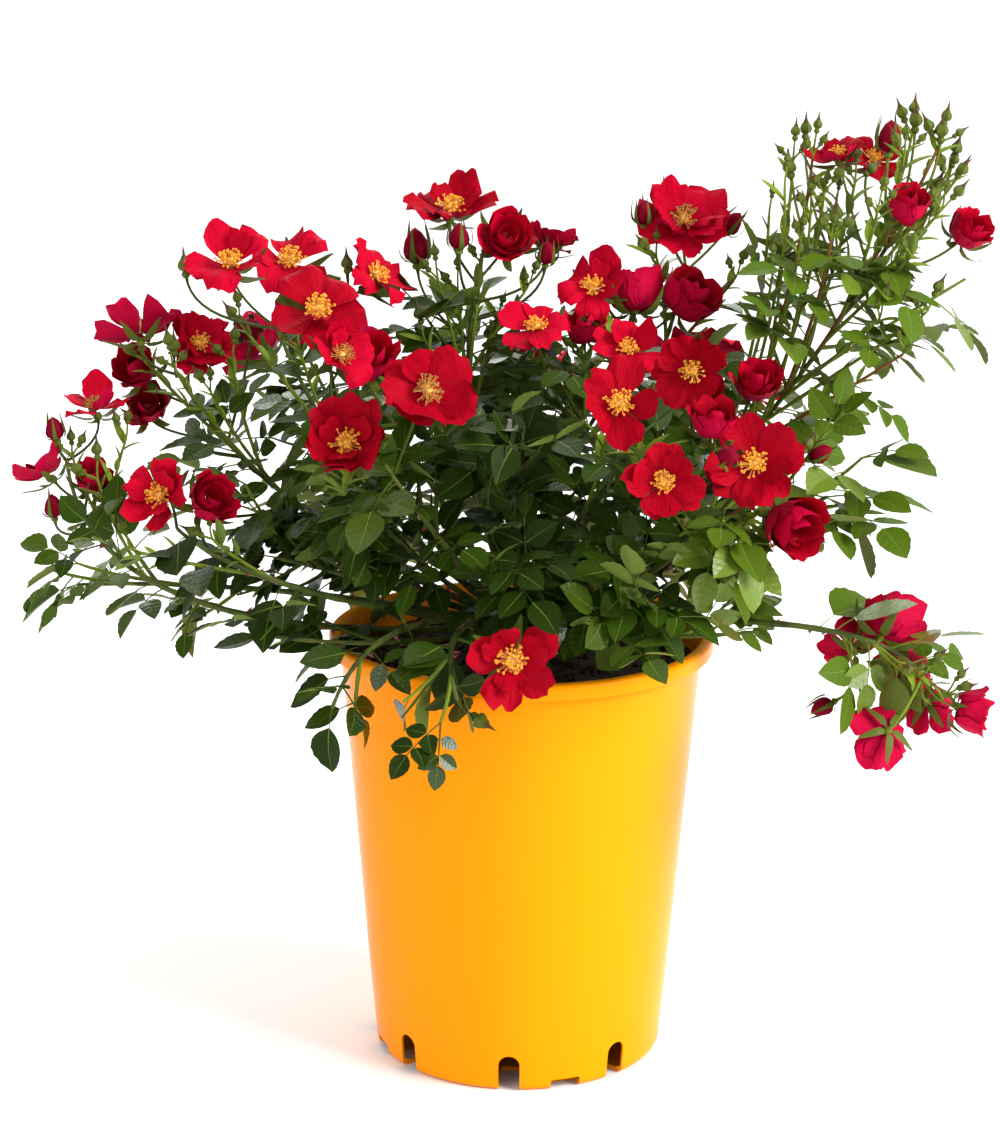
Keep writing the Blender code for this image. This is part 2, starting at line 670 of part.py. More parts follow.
def stem_leaf(arch, index, attempt):
    """Rule for a leaf on the stem; where no flower does, the first leaf ends the stem."""
    rng = random.Random("%s leaf %d %d" % (arch.shoot.name, index, attempt))
    if index == 0 and arch.shoot.name not in FLOWERS:
        turn = rng.uniform(0, math.tau)
        return leaf_at(rng, arch.shoot.leaf, arch.tip, arch.heading(1.0), turn, END_LEAF_SPREAD)
    along = place_in(STEM_LEAF_SPAN, (index + rng.random()) / arch.shoot.leaves)
    turn = index * GOLDEN_ANGLE + rng.uniform(-TURN_SWAY, TURN_SWAY) + attempt
    share = arch.stem_share(along)
    spread = rng.uniform(*STEM_LEAF_SPREAD)
    return leaf_at(rng, arch.shoot.leaf, arch.point(share), arch.heading(share), turn, spread)


def twig_leaf(arch, twig_index, twig, index, attempt):
    """Rule for a leaf on a side twig: the first ends the twig, the rest are set along it."""
    rng = random.Random("%s twig leaf %d %d %d" % (arch.shoot.name, twig_index, index, attempt))
    length = arch.shoot.leaf
    if index == 0:
        turn = rng.uniform(0, math.tau)
        heading = curve_heading(*twig, 1.0)
        return leaf_at(rng, length, twig[2], heading, turn, END_LEAF_SPREAD)
    along = place_in(TWIG_LEAF_SPAN, (index - 1 + rng.random()) / (TWIG_LEAVES - 1))
    turn = index * GOLDEN_ANGLE + rng.uniform(-TURN_SWAY, TURN_SWAY) + attempt
    spread = rng.uniform(*TWIG_LEAF_SPREAD)
    return leaf_at(
        rng, length, curve_point(*twig, along), curve_heading(*twig, along), turn, spread
    )


def leaf_body(leaf, swell=0.0):
    """A kite with a ridge on top, widest nearer its root, which is sunk in the limb."""
    bm = bmesh.new()
    bmesh.ops.create_cone(
        bm, cap_ends=True, segments=4, radius1=1.0, radius2=0.0, depth=1.0,
    )
    bmesh.ops.remove_doubles(bm, verts=bm.verts, dist=0.01)
    for vertex in bm.verts:
        if abs(vertex.co.y) < 0.5:
            vertex.co.y = LEAF_SHOULDER
    side = leaf.heading.cross(leaf.face_up).normalized()
    normal = side.cross(leaf.heading)
    length = leaf.length + LEAF_SINK + 2 * swell
    width = LEAF_BREADTH * leaf.length + 2 * swell
    thickness = LEAF_THICKNESS + 2 * swell
    axes = Matrix((side * width / 2, leaf.heading * length / 2, normal * thickness))
    middle = leaf.root + leaf.heading * ((leaf.length - LEAF_SINK) / 2)
    bm.transform(Matrix.Translation(middle) @ axes.transposed().to_4x4())
    return bm


def twig_body(twig, swell=0.0):
    radii = taper(TWIG_RADIUS + swell, TWIG_TIP_RADIUS + swell, TWIG_STEPS)
    return sweep(curve_frames(*twig, 0.0, 1.0, TWIG_STEPS), radii, TWIG_SIDES)[0]


# ---------------------------------------------------------------- keeping masses apart
class Space:
    """Search trees of what stands already, so that new twigs and leaves stay clear."""

    def __init__(self, arches):
        self.pieces = []
        self.outlooks = []
        self.stems = {}
        for arch in arches:
            points = [arch.point(arch.stem_share(step / 8)) for step in range(9)]
            self.stems[arch.shoot.name] = points

    def add(self, owner, bm, is_flower=False):
        middle, reach = bounding_ball(bm)
        self.pieces.append((owner, is_flower, BVHTree.FromBMesh(bm), middle, reach))

    def add_outlook(self, flower):
        way = Vector((0.0, 1.0 if flower.y > BACK_BLOOM else -1.0, OUTLOOK_RISE))
        frame = flower_frame(flower)
        if (frame.to_3x3() @ UP).dot(way) > 0:
            self.outlooks.append((frame.translation, way.normalized(), flower.width / 2 * MM))

    def hides_bloom(self, bm):
        """True where a corner of the piece stands in a bloom's outlook."""
        for middle, way, half in self.outlooks:
            for vertex in bm.verts:
                offset = vertex.co - middle
                ahead = offset.dot(way)
                if 0 < ahead < OUTLOOK_LENGTH and (offset - way * ahead).length < half:
                    return True
        return False

    def add_object(self, built):
        bm = bmesh.new()
        bm.from_mesh(evaluated_mesh(built))
        self.add(built.name, bm)
        bm.free()

    def is_clear(self, owner, bm):
        """True where a piece meets no other mass, flower or compost and hides no bloom."""
        if any(is_in_pot(vertex.co) for vertex in bm.verts) or self.hides_bloom(bm):
            return False
        middle, reach = bounding_ball(bm)
        probe = BVHTree.FromBMesh(bm)
        for other, is_flower, tree, place, radius in self.pieces:
            if other == owner and not is_flower:
                continue
            if (place - middle).length < reach + radius and tree.overlap(probe):
                return False
        return True

    def is_own_room(self, shoot, point):
        """True within the plant's reach and no nearer to another mass's stem than to its own."""
        if not REACH_LEFT < point.x < REACH_RIGHT or point.z < shoot.low * MM:
            return False
        own = nearest(self.stems[shoot.name], point)
        others = [stem for name, stem in self.stems.items() if name != shoot.name]
        return own < min(nearest(stem, point) for stem in others) + ROOM_SLACK


def nearest(points, place):
    return min((point - place).length for point in points)


def bounding_ball(bm):
    points = [vertex.co.copy() for vertex in bm.verts]
    middle = sum(points, Vector()) / len(points)
    return middle, max((point - middle).length for point in points)


def is_in_pot(point):
    return point.xy.length < RIM_RADIUS and point.z < COMPOST_TOP + 3 * MM


# ---------------------------------------------------------------- masses
class Mass:
    """One spray or clump: its stem, flowers and stalks, then the twigs and leaves that fit."""

    def __init__(self, arch):
        self.arch = arch
        self.name = arch.shoot.name
        self.bodies = [(arch.stem(), "bark")]
        for flower in FLOWERS.get(self.name, []):
            self.bodies.append((flower_body(arch, flower), "petal"))

    def reserve(self, space):
        for body, finish in self.bodies:
            space.add(self.name, body, finish == "petal")
        for flower in FLOWERS.get(self.name, []):
            if flower.form != "bud":
                space.add_outlook(flower)

    def grow(self, space):
        for index in range(self.arch.shoot.twigs):
            for attempt in range(ATTEMPTS):
                twig = twig_curve(self.arch, index, attempt)
                if self.fits(space, twig_body(twig, CLEARANCE), twig[2]):
                    self.keep(space, twig_body(twig), "bark")
                    self.grow_leaves(space, TWIG_LEAVES, twig_leaf, index, twig)
                    break
        self.grow_leaves(space, self.arch.shoot.leaves, stem_leaf)

    def grow_leaves(self, space, count, rule, *limb):
        for index in range(count):
            for attempt in range(ATTEMPTS):
                leaf = rule(self.arch, *limb, index, attempt)
                end = leaf.root + leaf.heading * leaf.length
                if self.fits(space, leaf_body(leaf, CLEARANCE), end):
                    self.keep(space, leaf_body(leaf), "leaf")
                    break

    def fits(self, space, probe, end):
        clear = space.is_own_room(self.arch.shoot, end) and space.is_clear(self.name, probe)
        probe.free()
        return clear

    def keep(self, space, body, finish):
        space.add(self.name, body)
        self.bodies.append((body, finish))

    def join(self, parts):
        """One Boolean union of the whole mass; the loose pieces are then removed."""
        pieces = new_collection(self.name + "_pieces")
        stem_body, finish = self.bodies[0]
        mass = object_from_bmesh(stem_body, self.name, parts)
        mass.data.materials.append(make_material(finish))
        for body, finish in self.bodies[1:]:
            piece = object_from_bmesh(body, self.name + "_piece", pieces)
            piece.data.materials.append(make_material(finish))
        union = mass.modifiers.new("join", "BOOLEAN")
        union.operation = "UNION"
        union.operand_type = "COLLECTION"
        union.collection = pieces
        union.solver = "EXACT"
        union.material_mode = "TRANSFER"
        joined = evaluated_mesh(mass)
        mass.modifiers.clear()
        for piece in list(pieces.objects):
            bpy.data.objects.remove(piece, do_unlink=True)
        bpy.data.collections.remove(pieces)
        mass.data = largest_shell(joined)
        shade_round(mass.data)
        return mass


def largest_shell(mesh):
    """Keep the outer shell: sealed hollows are filled so, and loose scraps dropped."""
    bm = bmesh.new()
    bm.from_mesh(mesh)
    unseen = set(bm.verts)
    shells = []
    while unseen:
        shell = []
        edge_of_shell = [unseen.pop()]
        while edge_of_shell:
            vertex = edge_of_shell.pop()
            shell.append(vertex)
            for edge in vertex.link_edges:
                other = edge.other_vert(vertex)
                if other in unseen:
                    unseen.remove(other)
                    edge_of_shell.append(other)
        shells.append(shell)
    shells.sort(key=len)
    for shell in shells[:-1]:
        bmesh.ops.delete(bm, geom=shell, context="VERTS")
    bmesh.ops.triangulate(bm, faces=bm.faces)
    bm.to_mesh(mesh)
    bm.free()
    return mesh


# ---------------------------------------------------------------- the whole plant
def main():
    clear_scene()
    parts = new_collection("rose_bush")
    cutters = new_collection("cutters")
    pot = build_pot(parts, cutters)
    compost = build_compost(parts)
    crown = build_crown(parts)
    arches = [Arch(shoot) for shoot in SHOOTS]
    space = Space(arches)
    for built in (pot, compost, crown):
        space.add_object(built)
    for arch in arches:
        if arch.shoot.enter > 0:
            cane = arch.cane()
            space.add(arch.cane_name(), cane)
            made = object_from_bmesh(cane, arch.cane_name(), parts)
            shade_round(made.data)
            made.data.materials.append(make_material("bark"))
    masses = [Mass(arch) for arch in arches]
    for mass in masses:
        mass.reserve(space)
    for mass in masses:
        mass.grow(space)
    for mass in masses:
        mass.join(parts)


main()
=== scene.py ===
# %% [markdown]
# # A potted rose bush
#
# The plant stands in a tapered plastic pot. Its solids already exist and are loaded as a fixed
# frame: they say where the pot, the canes and every mass of leaves and flowers are. This lesson
# dresses them. Each solid is replaced by a finer piece in the same place, in metres, with the
# origin in the middle of the pot's flat underside and -Y towards the front.

import math
import random
from collections import namedtuple

import bmesh
import bpy
from mathutils import Matrix, Quaternion, Vector, noise
from mathutils.kdtree import KDTree


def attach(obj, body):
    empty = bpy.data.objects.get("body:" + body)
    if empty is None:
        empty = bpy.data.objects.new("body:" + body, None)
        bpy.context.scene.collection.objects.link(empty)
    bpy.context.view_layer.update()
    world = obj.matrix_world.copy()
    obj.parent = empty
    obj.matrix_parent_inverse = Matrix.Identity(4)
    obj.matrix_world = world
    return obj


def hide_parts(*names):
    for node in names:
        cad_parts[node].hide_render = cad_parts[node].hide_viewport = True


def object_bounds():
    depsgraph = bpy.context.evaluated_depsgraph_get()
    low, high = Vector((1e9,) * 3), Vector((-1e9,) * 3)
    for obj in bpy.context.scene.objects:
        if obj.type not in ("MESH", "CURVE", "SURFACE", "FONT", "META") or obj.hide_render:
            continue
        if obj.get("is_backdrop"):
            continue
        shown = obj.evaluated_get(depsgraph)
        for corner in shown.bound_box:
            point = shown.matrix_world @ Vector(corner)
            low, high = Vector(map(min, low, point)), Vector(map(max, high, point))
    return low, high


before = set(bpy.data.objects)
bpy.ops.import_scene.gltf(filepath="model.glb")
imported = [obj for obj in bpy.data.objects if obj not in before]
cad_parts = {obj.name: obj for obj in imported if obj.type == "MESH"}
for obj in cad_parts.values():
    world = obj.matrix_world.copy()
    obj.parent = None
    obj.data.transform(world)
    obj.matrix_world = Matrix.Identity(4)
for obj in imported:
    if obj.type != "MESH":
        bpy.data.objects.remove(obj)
solid_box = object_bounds()
MM = 0.001
UP = Vector((0.0, 0.0, 1.0))
print("solids:", len(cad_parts))

# %% [markdown]
# ## The shape of the plant
#
# A rose is a set of shoots that rise from one crown. Each shoot is a smooth curve given by two
# points: where it bends and where it ends. The solids were grown from this same table, so the
# table is repeated here, in millimetres, and the finer plant follows the same lines. After the
# two points come the radius at the foot, the share of the way at which a cane enters its mass (0
# where the mass grows straight from the crown), how many leaves and side twigs it has, how long a
# twig and a leaf are, and the lowest height that a leaf may reach.

# %% The table of shoots
Shoot = namedtuple("Shoot", "name bend tip radius enter leaves twigs twig leaf low")

SHOOT_ROWS = [
    ("spray_left_far", (-215, -70, 234), (-229, -31, 321), 2.3, 0.46, 3, 1, 40, 34, 236),
    ("leaves_left_tip", (-136, -6, 254), (-231, 4, 247), 2.0, 0.40, 5, 2, 40, 36, 220),
    ("spray_left_low", (-132, -86, 266), (-168, -84, 300), 2.2, 0.42, 4, 1, 42, 36, 246),
    ("spray_left_mid", (-140, 48, 275), (-178, 18, 356), 2.3, 0.38, 4, 2, 45, 40, 244),
    ("spray_left_high", (-92, 4, 296), (-124, -12, 386), 2.3, 0.38, 5, 1, 40, 36, 244),
    ("spray_left_inner", (-50, -14, 312), (-80, -30, 366), 2.2, 0.36, 5, 2, 45, 42, 240),
    ("spray_centre_left", (-36, -62, 280), (-66, -98, 336), 2.3, 0.36, 5, 2, 45, 42, 240),
    ("spray_top_centre", (-38, 24, 320), (-25, 31, 403), 2.2, 0.40, 5, 2, 45, 42, 240),
    ("spray_right_high", (18, 4, 320), (48, 6, 372), 2.3, 0.38, 5, 2, 45, 42, 240),
    ("spray_centre_right", (22, -42, 290), (56, -66, 344), 2.2, 0.36, 5, 1, 40, 38, 240),
    ("spray_right_top", (62, 34, 316), (84, 44, 408), 2.2, 0.40, 5, 2, 45, 44, 240),
    ("spray_right_front", (80, -58, 272), (104, -84, 322), 2.4, 0.36, 5, 2, 45, 44, 240),
    ("spray_far_right", (114, 26, 296), (184, 20, 424), 2.6, 0.46, 5, 3, 50, 44, 300),
    ("leaves_right", (118, -14, 282), (152, -40, 308), 2.1, 0.44, 5, 3, 38, 42, 250),
    ("spray_right_low", (178, -72, 262), (200, -66, 222), 2.3, 0.50, 6, 0, 40, 40, 186),
    ("spray_front_low", (-44, -118, 272), (-30, -130, 228), 2.1, 0.44, 5, 1, 40, 34, 182),
    ("leaves_front_left", (-74, -92, 266), (-91, -116, 219), 1.9, 0.44, 5, 0, 40, 32, 182),
    ("foliage_left", (-86, -34, 264), (-124, -32, 272), 2.1, 0.26, 5, 3, 50, 36, 232),
    ("foliage_left_low", (-62, -68, 234), (-122, -66, 240), 1.8, 0.0, 5, 2, 46, 34, 220),
    ("foliage_centre", (-6, -24, 290), (-10, -56, 342), 2.0, 0.0, 5, 5, 58, 38, 225),
    ("foliage_centre_left", (-52, -36, 266), (-78, -62, 308), 1.9, 0.0, 5, 4, 55, 36, 225),
    ("foliage_front", (-6, -66, 262), (6, -92, 286), 1.8, 0.0, 6, 3, 50, 38, 230),
    ("foliage_right", (42, -62, 254), (62, -88, 284), 1.9, 0.0, 5, 4, 52, 40, 234),
    ("foliage_right_low", (66, -56, 236), (118, -62, 244), 1.8, 0.0, 5, 3, 50, 36, 232),
    ("foliage_right_mid", (62, -16, 284), (92, -30, 318), 2.0, 0.0, 5, 4, 55, 38, 236),
    ("spray_back_left", (-84, 84, 282), (-118, 118, 346), 2.3, 0.34, 5, 3, 52, 46, 220),
    ("spray_back_centre", (4, 104, 280), (6, 160, 316), 2.3, 0.34, 5, 3, 50, 46, 220),
    ("spray_back_right", (74, 86, 276), (106, 130, 326), 2.3, 0.34, 5, 3, 50, 46, 220),
    ("foliage_back_left", (-60, 104, 244), (-104, 168, 262), 2.1, 0.34, 5, 3, 52, 46, 212),
    ("foliage_back_right", (58, 112, 244), (96, 176, 262), 2.1, 0.34, 5, 3, 52, 46, 212),
    ("foliage_back_centre", (-4, 48, 290), (-6, 92, 336), 2.0, 0.0, 5, 5, 56, 44, 220),
]
SHOOTS = [Shoot(*row) for row in SHOOT_ROWS]
print("shoots:", len(SHOOTS))

# %% [markdown]
# ## Where the flowers are
#
# Each flower has a form (open, half-open cup, or bud), the place of its middle, the way it faces
# and its width. The turn is counted from the front towards +X and the lift upwards.

# %% The table of flowers
Flower = namedtuple("Flower", "form x y z turn lift width")

FLOWER_ROWS = {
    "spray_left_far": [
        ("open", -240, -30, 316, -110, 48, 38), ("open", -215, -20, 347, -25, 80, 37),
        ("cup", -217, -30, 311, 30, 55, 22), ("bud", -234, -34, 336, -20, 75, 10),
        ("bud", -236, -34, 296, -20, 80, 10),
    ],
    "spray_left_low": [
        ("open", -175, -92, 318, -20, 22, 44), ("cup", -153, -80, 313, 40, 35, 26),
    ],
    "spray_left_mid": [
        ("open", -196, 8, 381, -165, 52, 44), ("open", -168, 26, 371, 30, 30, 38),
        ("cup", -201, 34, 355, -20, 40, 26), ("cup", -197, 38, 334, 0, 40, 24),
        ("bud", -143, 36, 376, 0, 20, 14), ("bud", -176, -14, 377, 0, 85, 7),
    ],
    "spray_left_high": [
        ("open", -147, -12, 419, -10, 58, 46), ("open", -119, 14, 416, 0, 54, 48),
        ("open", -101, -44, 401, 5, 46, 50), ("bud", -170, -10, 417, -20, 80, 8),
    ],
    "spray_left_inner": [
        ("open", -75, 2, 411, 60, 40, 44), ("open", -88, -73, 384, 34, 32, 38),
        ("cup", -75, -48, 377, 10, 60, 30), ("bud", -90, 8, 416, -10, 80, 7),
    ],
    "spray_centre_left": [
        ("open", -45, -116, 376, 10, 26, 46), ("open", -84, -106, 348, -4, 34, 48),
    ],
    "spray_top_centre": [
        ("open", -38, 34, 441, 10, 66, 47), ("cup", -9, 18, 428, 10, 35, 29),
        ("open", 13, 40, 422, 150, 66, 34), ("bud", -56, 44, 416, -20, 80, 15),
        ("bud", -33, 4, 428, 0, 85, 11), ("bud", 11, 14, 419, 15, 70, 10),
    ],
    "spray_right_high": [
        ("open", 35, 12, 404, -8, 55, 42), ("open", 6, -12, 388, -15, 64, 38),
        ("cup", 57, 22, 398, 175, 60, 32), ("cup", 84, 20, 397, 60, 45, 34),
        ("open", 52, -24, 379, 5, 52, 38), ("cup", 31, 2, 384, 0, 70, 24),
    ],
    "spray_centre_right": [
        ("open", 46, -84, 364, 0, 20, 46), ("open", 83, -54, 374, -20, 22, 41),
    ],
    "spray_right_top": [
        ("open", 82, 42, 435, 0, 50, 49), ("bud", 61, 40, 436, -20, 80, 10),
        ("bud", 106, 50, 430, 60, 50, 11), ("bud", 72, 60, 446, 0, 85, 7),
    ],
    "spray_right_front": [
        ("cup", 116, -34, 364, 0, 60, 26), ("cup", 92, -84, 355, -5, 70, 26),
        ("open", 111, -97, 338, -10, 20, 45), ("cup", 130, -90, 306, 35, -8, 34),
        ("open", 67, -112, 332, 5, 20, 39), ("bud", 96, -126, 348, 5, 20, 11),
        ("bud", 143, -70, 336, 70, 30, 10),
    ],
    "spray_far_right": [
        ("open", 157, 14, 472, -30, 58, 33), ("open", 178, 38, 467, 20, 48, 34),
        ("bud", 182, 8, 479, 10, 80, 13), ("cup", 191, -4, 448, 20, 66, 25),
        ("bud", 210, 34, 454, 40, 60, 9), ("cup", 225, 18, 433, 50, 45, 25),
        ("bud", 133, 12, 466, -30, 70, 8), ("bud", 143, 40, 482, 0, 85, 7),
        ("bud", 197, 26, 488, 0, 85, 8), ("bud", 209, 16, 484, 10, 80, 8),
        ("bud", 219, 30, 474, 40, 70, 7), ("bud", 219, 8, 466, 60, 60, 7),
        ("bud", 156, 2, 444, -10, 80, 8),
    ],
    "spray_right_low": [
        ("cup", 184, -48, 243, 150, 25, 34), ("open", 166, -42, 230, -160, 5, 34),
        ("cup", 194, -44, 218, 170, -10, 30), ("open", 207, -50, 203, 150, -30, 32),
        ("cup", 223, -74, 208, 75, -10, 25), ("open", 180, -78, 196, -150, -40, 36),
        ("bud", 154, -56, 204, -70, -20, 10), ("bud", 189, -90, 234, 0, 30, 7),
    ],
    "spray_front_low": [
        ("open", -4, -128, 248, 2, 12, 50), ("bud", -19, -124, 216, 40, -10, 9),
    ],
    "spray_back_left": [
        ("open", -116, 132, 366, 200, 40, 46), ("open", -146, 118, 350, -130, 35, 44),
        ("cup", -96, 142, 352, 170, 30, 30), ("bud", -130, 146, 350, 190, 60, 9),
    ],
    "spray_back_centre": [
        ("open", 4, 178, 332, 180, 45, 48), ("open", -26, 182, 312, -160, 30, 42),
        ("cup", 34, 178, 316, 150, 35, 30), ("bud", 0, 192, 306, 180, 40, 9),
    ],
    "spray_back_right": [
        ("open", 100, 150, 346, 165, 45, 46), ("open", 130, 138, 326, 110, 30, 42),
        ("cup", 78, 158, 336, 180, 35, 30), ("bud", 116, 158, 326, 150, 40, 9),
    ],
}
FLOWERS = {name: [Flower(*row) for row in rows] for name, rows in FLOWER_ROWS.items()}
print("flowers and buds:", sum(len(group) for group in FLOWERS.values()))

# %% [markdown]
# ## Finishes
#
# Real plastic, bark and leaves are never one flat colour. A Principled shader holds the plain
# values, and small node groups add what the eye expects close up: noise for mottling, a bump for
# relief, an uneven roughness for gloss. Patterns read Object coordinates, which stay with the
# piece, and colours are written as the screen shows them and turned into linear light here.

# %% Material helpers
def paint(red, green, blue):
    """A colour from screen values of 0 to 255 to the linear values that shaders use."""
    shares = [value / 255 for value in (red, green, blue)]
    return tuple(
        share / 12.92 if share <= 0.04045 else ((share + 0.055) / 1.055) ** 2.4 for share in shares
    )


def finish_material(name, colour, roughness, **sockets):
    """A Principled material. Other sockets are set by name, with _ for a space."""
    material = bpy.data.materials.new(name)
    material.use_nodes = True
    material.diffuse_color = (*colour, 1.0)
    shader = material.node_tree.nodes["Principled BSDF"]
    shader.inputs["Base Color"].default_value = (*colour, 1.0)
    shader.inputs["Roughness"].default_value = roughness
    for socket, value in sockets.items():
        shader.inputs[socket.replace("_", " ")].default_value = value
    return material


def add_noise(material, scale, detail=3.0, stretch=(1.0, 1.0, 1.0), source="Object"):
    """A noise texture on the piece's own coordinates, stretched where the grain runs."""
    nodes, links = material.node_tree.nodes, material.node_tree.links
    place = nodes.new("ShaderNodeTexCoord")
    mapping = nodes.new("ShaderNodeMapping")
    mapping.inputs["Scale"].default_value = stretch
    texture = nodes.new("ShaderNodeTexNoise")
    texture.inputs["Scale"].default_value = scale
    texture.inputs["Detail"].default_value = detail
    links.new(place.outputs[source], mapping.inputs["Vector"])
    links.new(mapping.outputs["Vector"], texture.inputs["Vector"])
    return texture.outputs["Fac"]


def add_veins(material, scale):
    """Soft bands across the UV map, which a leaf's shape turns into side veins."""
    nodes, links = material.node_tree.nodes, material.node_tree.links
    place = nodes.new("ShaderNodeTexCoord")
    bands = nodes.new("ShaderNodeTexWave")
    bands.bands_direction = "Y"
    bands.inputs["Scale"].default_value = scale
    bands.inputs["Distortion"].default_value = 1.0
    links.new(place.outputs["UV"], bands.inputs["Vector"])
    return bands.outputs["Fac"]


def add_bump(material, height, distance):
    """Relief from a height, in metres of depth, on top of any relief already there."""
    nodes, links = material.node_tree.nodes, material.node_tree.links
    normal = nodes["Principled BSDF"].inputs["Normal"]
    bump = nodes.new("ShaderNodeBump")
    bump.inputs["Distance"].default_value = distance
    links.new(height, bump.inputs["Height"])
    if normal.is_linked:
        links.new(normal.links[0].from_socket, bump.inputs["Normal"])
    links.new(bump.outputs["Normal"], normal)


def add_gloss(material, height, low, high):
    """An uneven gloss: roughness runs from low to high with the height."""
    nodes, links = material.node_tree.nodes, material.node_tree.links
    spread = nodes.new("ShaderNodeMapRange")
    spread.inputs["To Min"].default_value = low
    spread.inputs["To Max"].default_value = high
    links.new(height, spread.inputs["Value"])
    links.new(spread.outputs["Result"], nodes["Principled BSDF"].inputs["Roughness"])


def add_mottle(material, height, *stops):
    """Colours dealt along a ramp by the height; each stop is a position and a colour."""
    nodes, links = material.node_tree.nodes, material.node_tree.links
    ramp = nodes.new("ShaderNodeValToRGB")
    ramp.color_ramp.elements[0].position = stops[0][0]
    ramp.color_ramp.elements[0].color = (*stops[0][1], 1.0)
    ramp.color_ramp.elements[1].position = stops[-1][0]
    ramp.color_ramp.elements[1].color = (*stops[-1][1], 1.0)
    for position, colour in stops[1:-1]:
        ramp.color_ramp.elements.new(position).color = (*colour, 1.0)
    links.new(height, ramp.inputs["Fac"])
    links.new(ramp.outputs["Color"], nodes["Principled BSDF"].inputs["Base Color"])


# %% [markdown]
# The pot is glossy injection-moulded plastic: nearly one colour, with faint flow marks and a
# slight orange-peel skin. Compost is dark and rough. Bark is green on young canes and browner
# low down; here its noise is stretched along the height and deals green and brown streaks
# alike from top to bottom.

# %% Finishes of the pot, the compost and the bark
pot_plastic = finish_material("pot_plastic", paint(255, 151, 0), 0.2, Specular_IOR_Level=0.06)
add_mottle(
    pot_plastic, add_noise(pot_plastic, 9.0, 2.0, (1.0, 1.0, 0.35)),
    (0.35, paint(254, 147, 0)), (0.65, paint(255, 154, 1)),
)
add_bump(pot_plastic, add_noise(pot_plastic, 420.0, 2.0), 0.00004)
add_gloss(pot_plastic, add_noise(pot_plastic, 60.0, 3.0), 0.17, 0.26)

compost_soil = finish_material("compost_soil", paint(48, 36, 28), 0.95)
soil_noise = add_noise(compost_soil, 260.0, 6.0)
add_mottle(
    compost_soil, soil_noise,
    (0.30, paint(22, 16, 12)), (0.55, paint(52, 38, 28)), (0.78, paint(96, 74, 52)),
)
add_bump(compost_soil, soil_noise, 0.0012)

peat_crumb = finish_material("peat_crumb", paint(40, 29, 22), 0.95)
add_bump(peat_crumb, add_noise(peat_crumb, 900.0, 4.0), 0.0004)
bark_chip = finish_material("bark_chip", paint(92, 66, 44), 0.85)
add_bump(bark_chip, add_noise(bark_chip, 700.0, 4.0, (1.0, 1.0, 4.0)), 0.0004)

cane_bark = finish_material("cane_bark", paint(80, 98, 38), 0.5, Specular_IOR_Level=0.2)
bark_noise = add_noise(cane_bark, 90.0, 5.0, (1.0, 1.0, 0.25))
add_mottle(
    cane_bark, bark_noise,
    (0.30, paint(46, 60, 18)), (0.52, paint(78, 94, 34)), (0.74, paint(100, 90, 44)),
)
add_bump(cane_bark, add_noise(cane_bark, 700.0, 4.0, (1.0, 1.0, 0.2)), 0.0003)

crown_bark = finish_material("crown_bark", paint(86, 66, 46), 0.8)
crown_noise = add_noise(crown_bark, 160.0, 6.0, (1.0, 1.0, 0.4))
add_mottle(
    crown_bark, crown_noise,
    (0.30, paint(46, 34, 24)), (0.55, paint(88, 68, 48)), (0.75, paint(128, 108, 78)),
)
add_bump(crown_bark, crown_noise, 0.001)
prickle_horn = finish_material("prickle_horn", paint(118, 40, 30), 0.35)
add_bump(prickle_horn, add_noise(prickle_horn, 1500.0), 0.0001)
print("hard finishes made:", len(bpy.data.materials))

# %% [markdown]
# Leaves and petals keep plain base colours: the variety comes from dealing several tones out
# spray by spray, as on the real plant, where old leaves are deep green and new ones fresh. The
# deep tone is also painted shade: it goes to the masses inside, low and at the back of the bush,
# where the leaves lie in shade. Relief and an uneven gloss keep each of them from looking like
# paper.

# %% Finishes of the leaves, stalks and petals
GLOSS_RANGE = (-0.08, 0.12)


def living_material(name, colour, roughness, grain, depth, **sockets):
    """A plant finish: plain colour, fine wrinkles and a gloss that varies."""
    material = finish_material(name, colour, roughness, **sockets)
    wrinkle = add_noise(material, grain, 3.0)
    add_bump(material, wrinkle, depth)
    add_gloss(material, wrinkle, roughness + GLOSS_RANGE[0], roughness + GLOSS_RANGE[1])
    return material


def leaf_finish(name, colour, roughness=0.44, shine=0.08):
    """Leaf skin with side veins; the second tone of each kind is glossier and catches light."""
    material = living_material(name, colour, roughness, 420.0, 0.0003, Specular_IOR_Level=shine)
    add_bump(material, add_veins(material, 1.7), 0.00007)
    return material


def petal_finish(name, colour):
    """Petal skin, with broad soft folds that run from claw to rim."""
    material = living_material(name, colour, 0.6, 220.0, 0.0005, Specular_IOR_Level=0.04)
    add_bump(material, add_noise(material, 2.0, 2.0, (2.4, 0.6, 1.0), "UV"), 0.0022)
    return material


def stalk_finish(name, colour):
    """Smooth skin of a stalk, a sepal or a hip."""
    return living_material(name, colour, 0.5, 900.0, 0.0001, Specular_IOR_Level=0.15)


leaf_under = leaf_finish("leaf_under", paint(100, 118, 50), 0.6)
leaf_rib = leaf_finish("leaf_rib", paint(104, 122, 48), 0.5)
LEAF_TONES = {
    # The deep tones are the older leaves' darker green and also painted shade for the masses inside,
    # low and at the back of the bush.
    "deep": (
        leaf_finish("leaf_deep", paint(32, 50, 5)),
        leaf_finish("leaf_bottle", paint(42, 62, 6), 0.27, 0.45),
    ),
    "mid": (
        leaf_finish("leaf_mid", paint(46, 68, 8)),
        leaf_finish("leaf_sage", paint(58, 78, 12), 0.28, 0.45),
    ),
    "fresh": (
        leaf_finish("leaf_fresh", paint(74, 98, 18)),
        leaf_finish("leaf_spring", paint(98, 120, 34), 0.30, 0.40),
    ),
}
leaf_young = leaf_finish("leaf_young", paint(126, 148, 44), 0.45)
stalk_green = stalk_finish("stalk_green", paint(108, 124, 32))
stalk_dark = stalk_finish("stalk_dark", paint(62, 76, 18))
stalk_red = stalk_finish("stalk_red", paint(124, 78, 38))
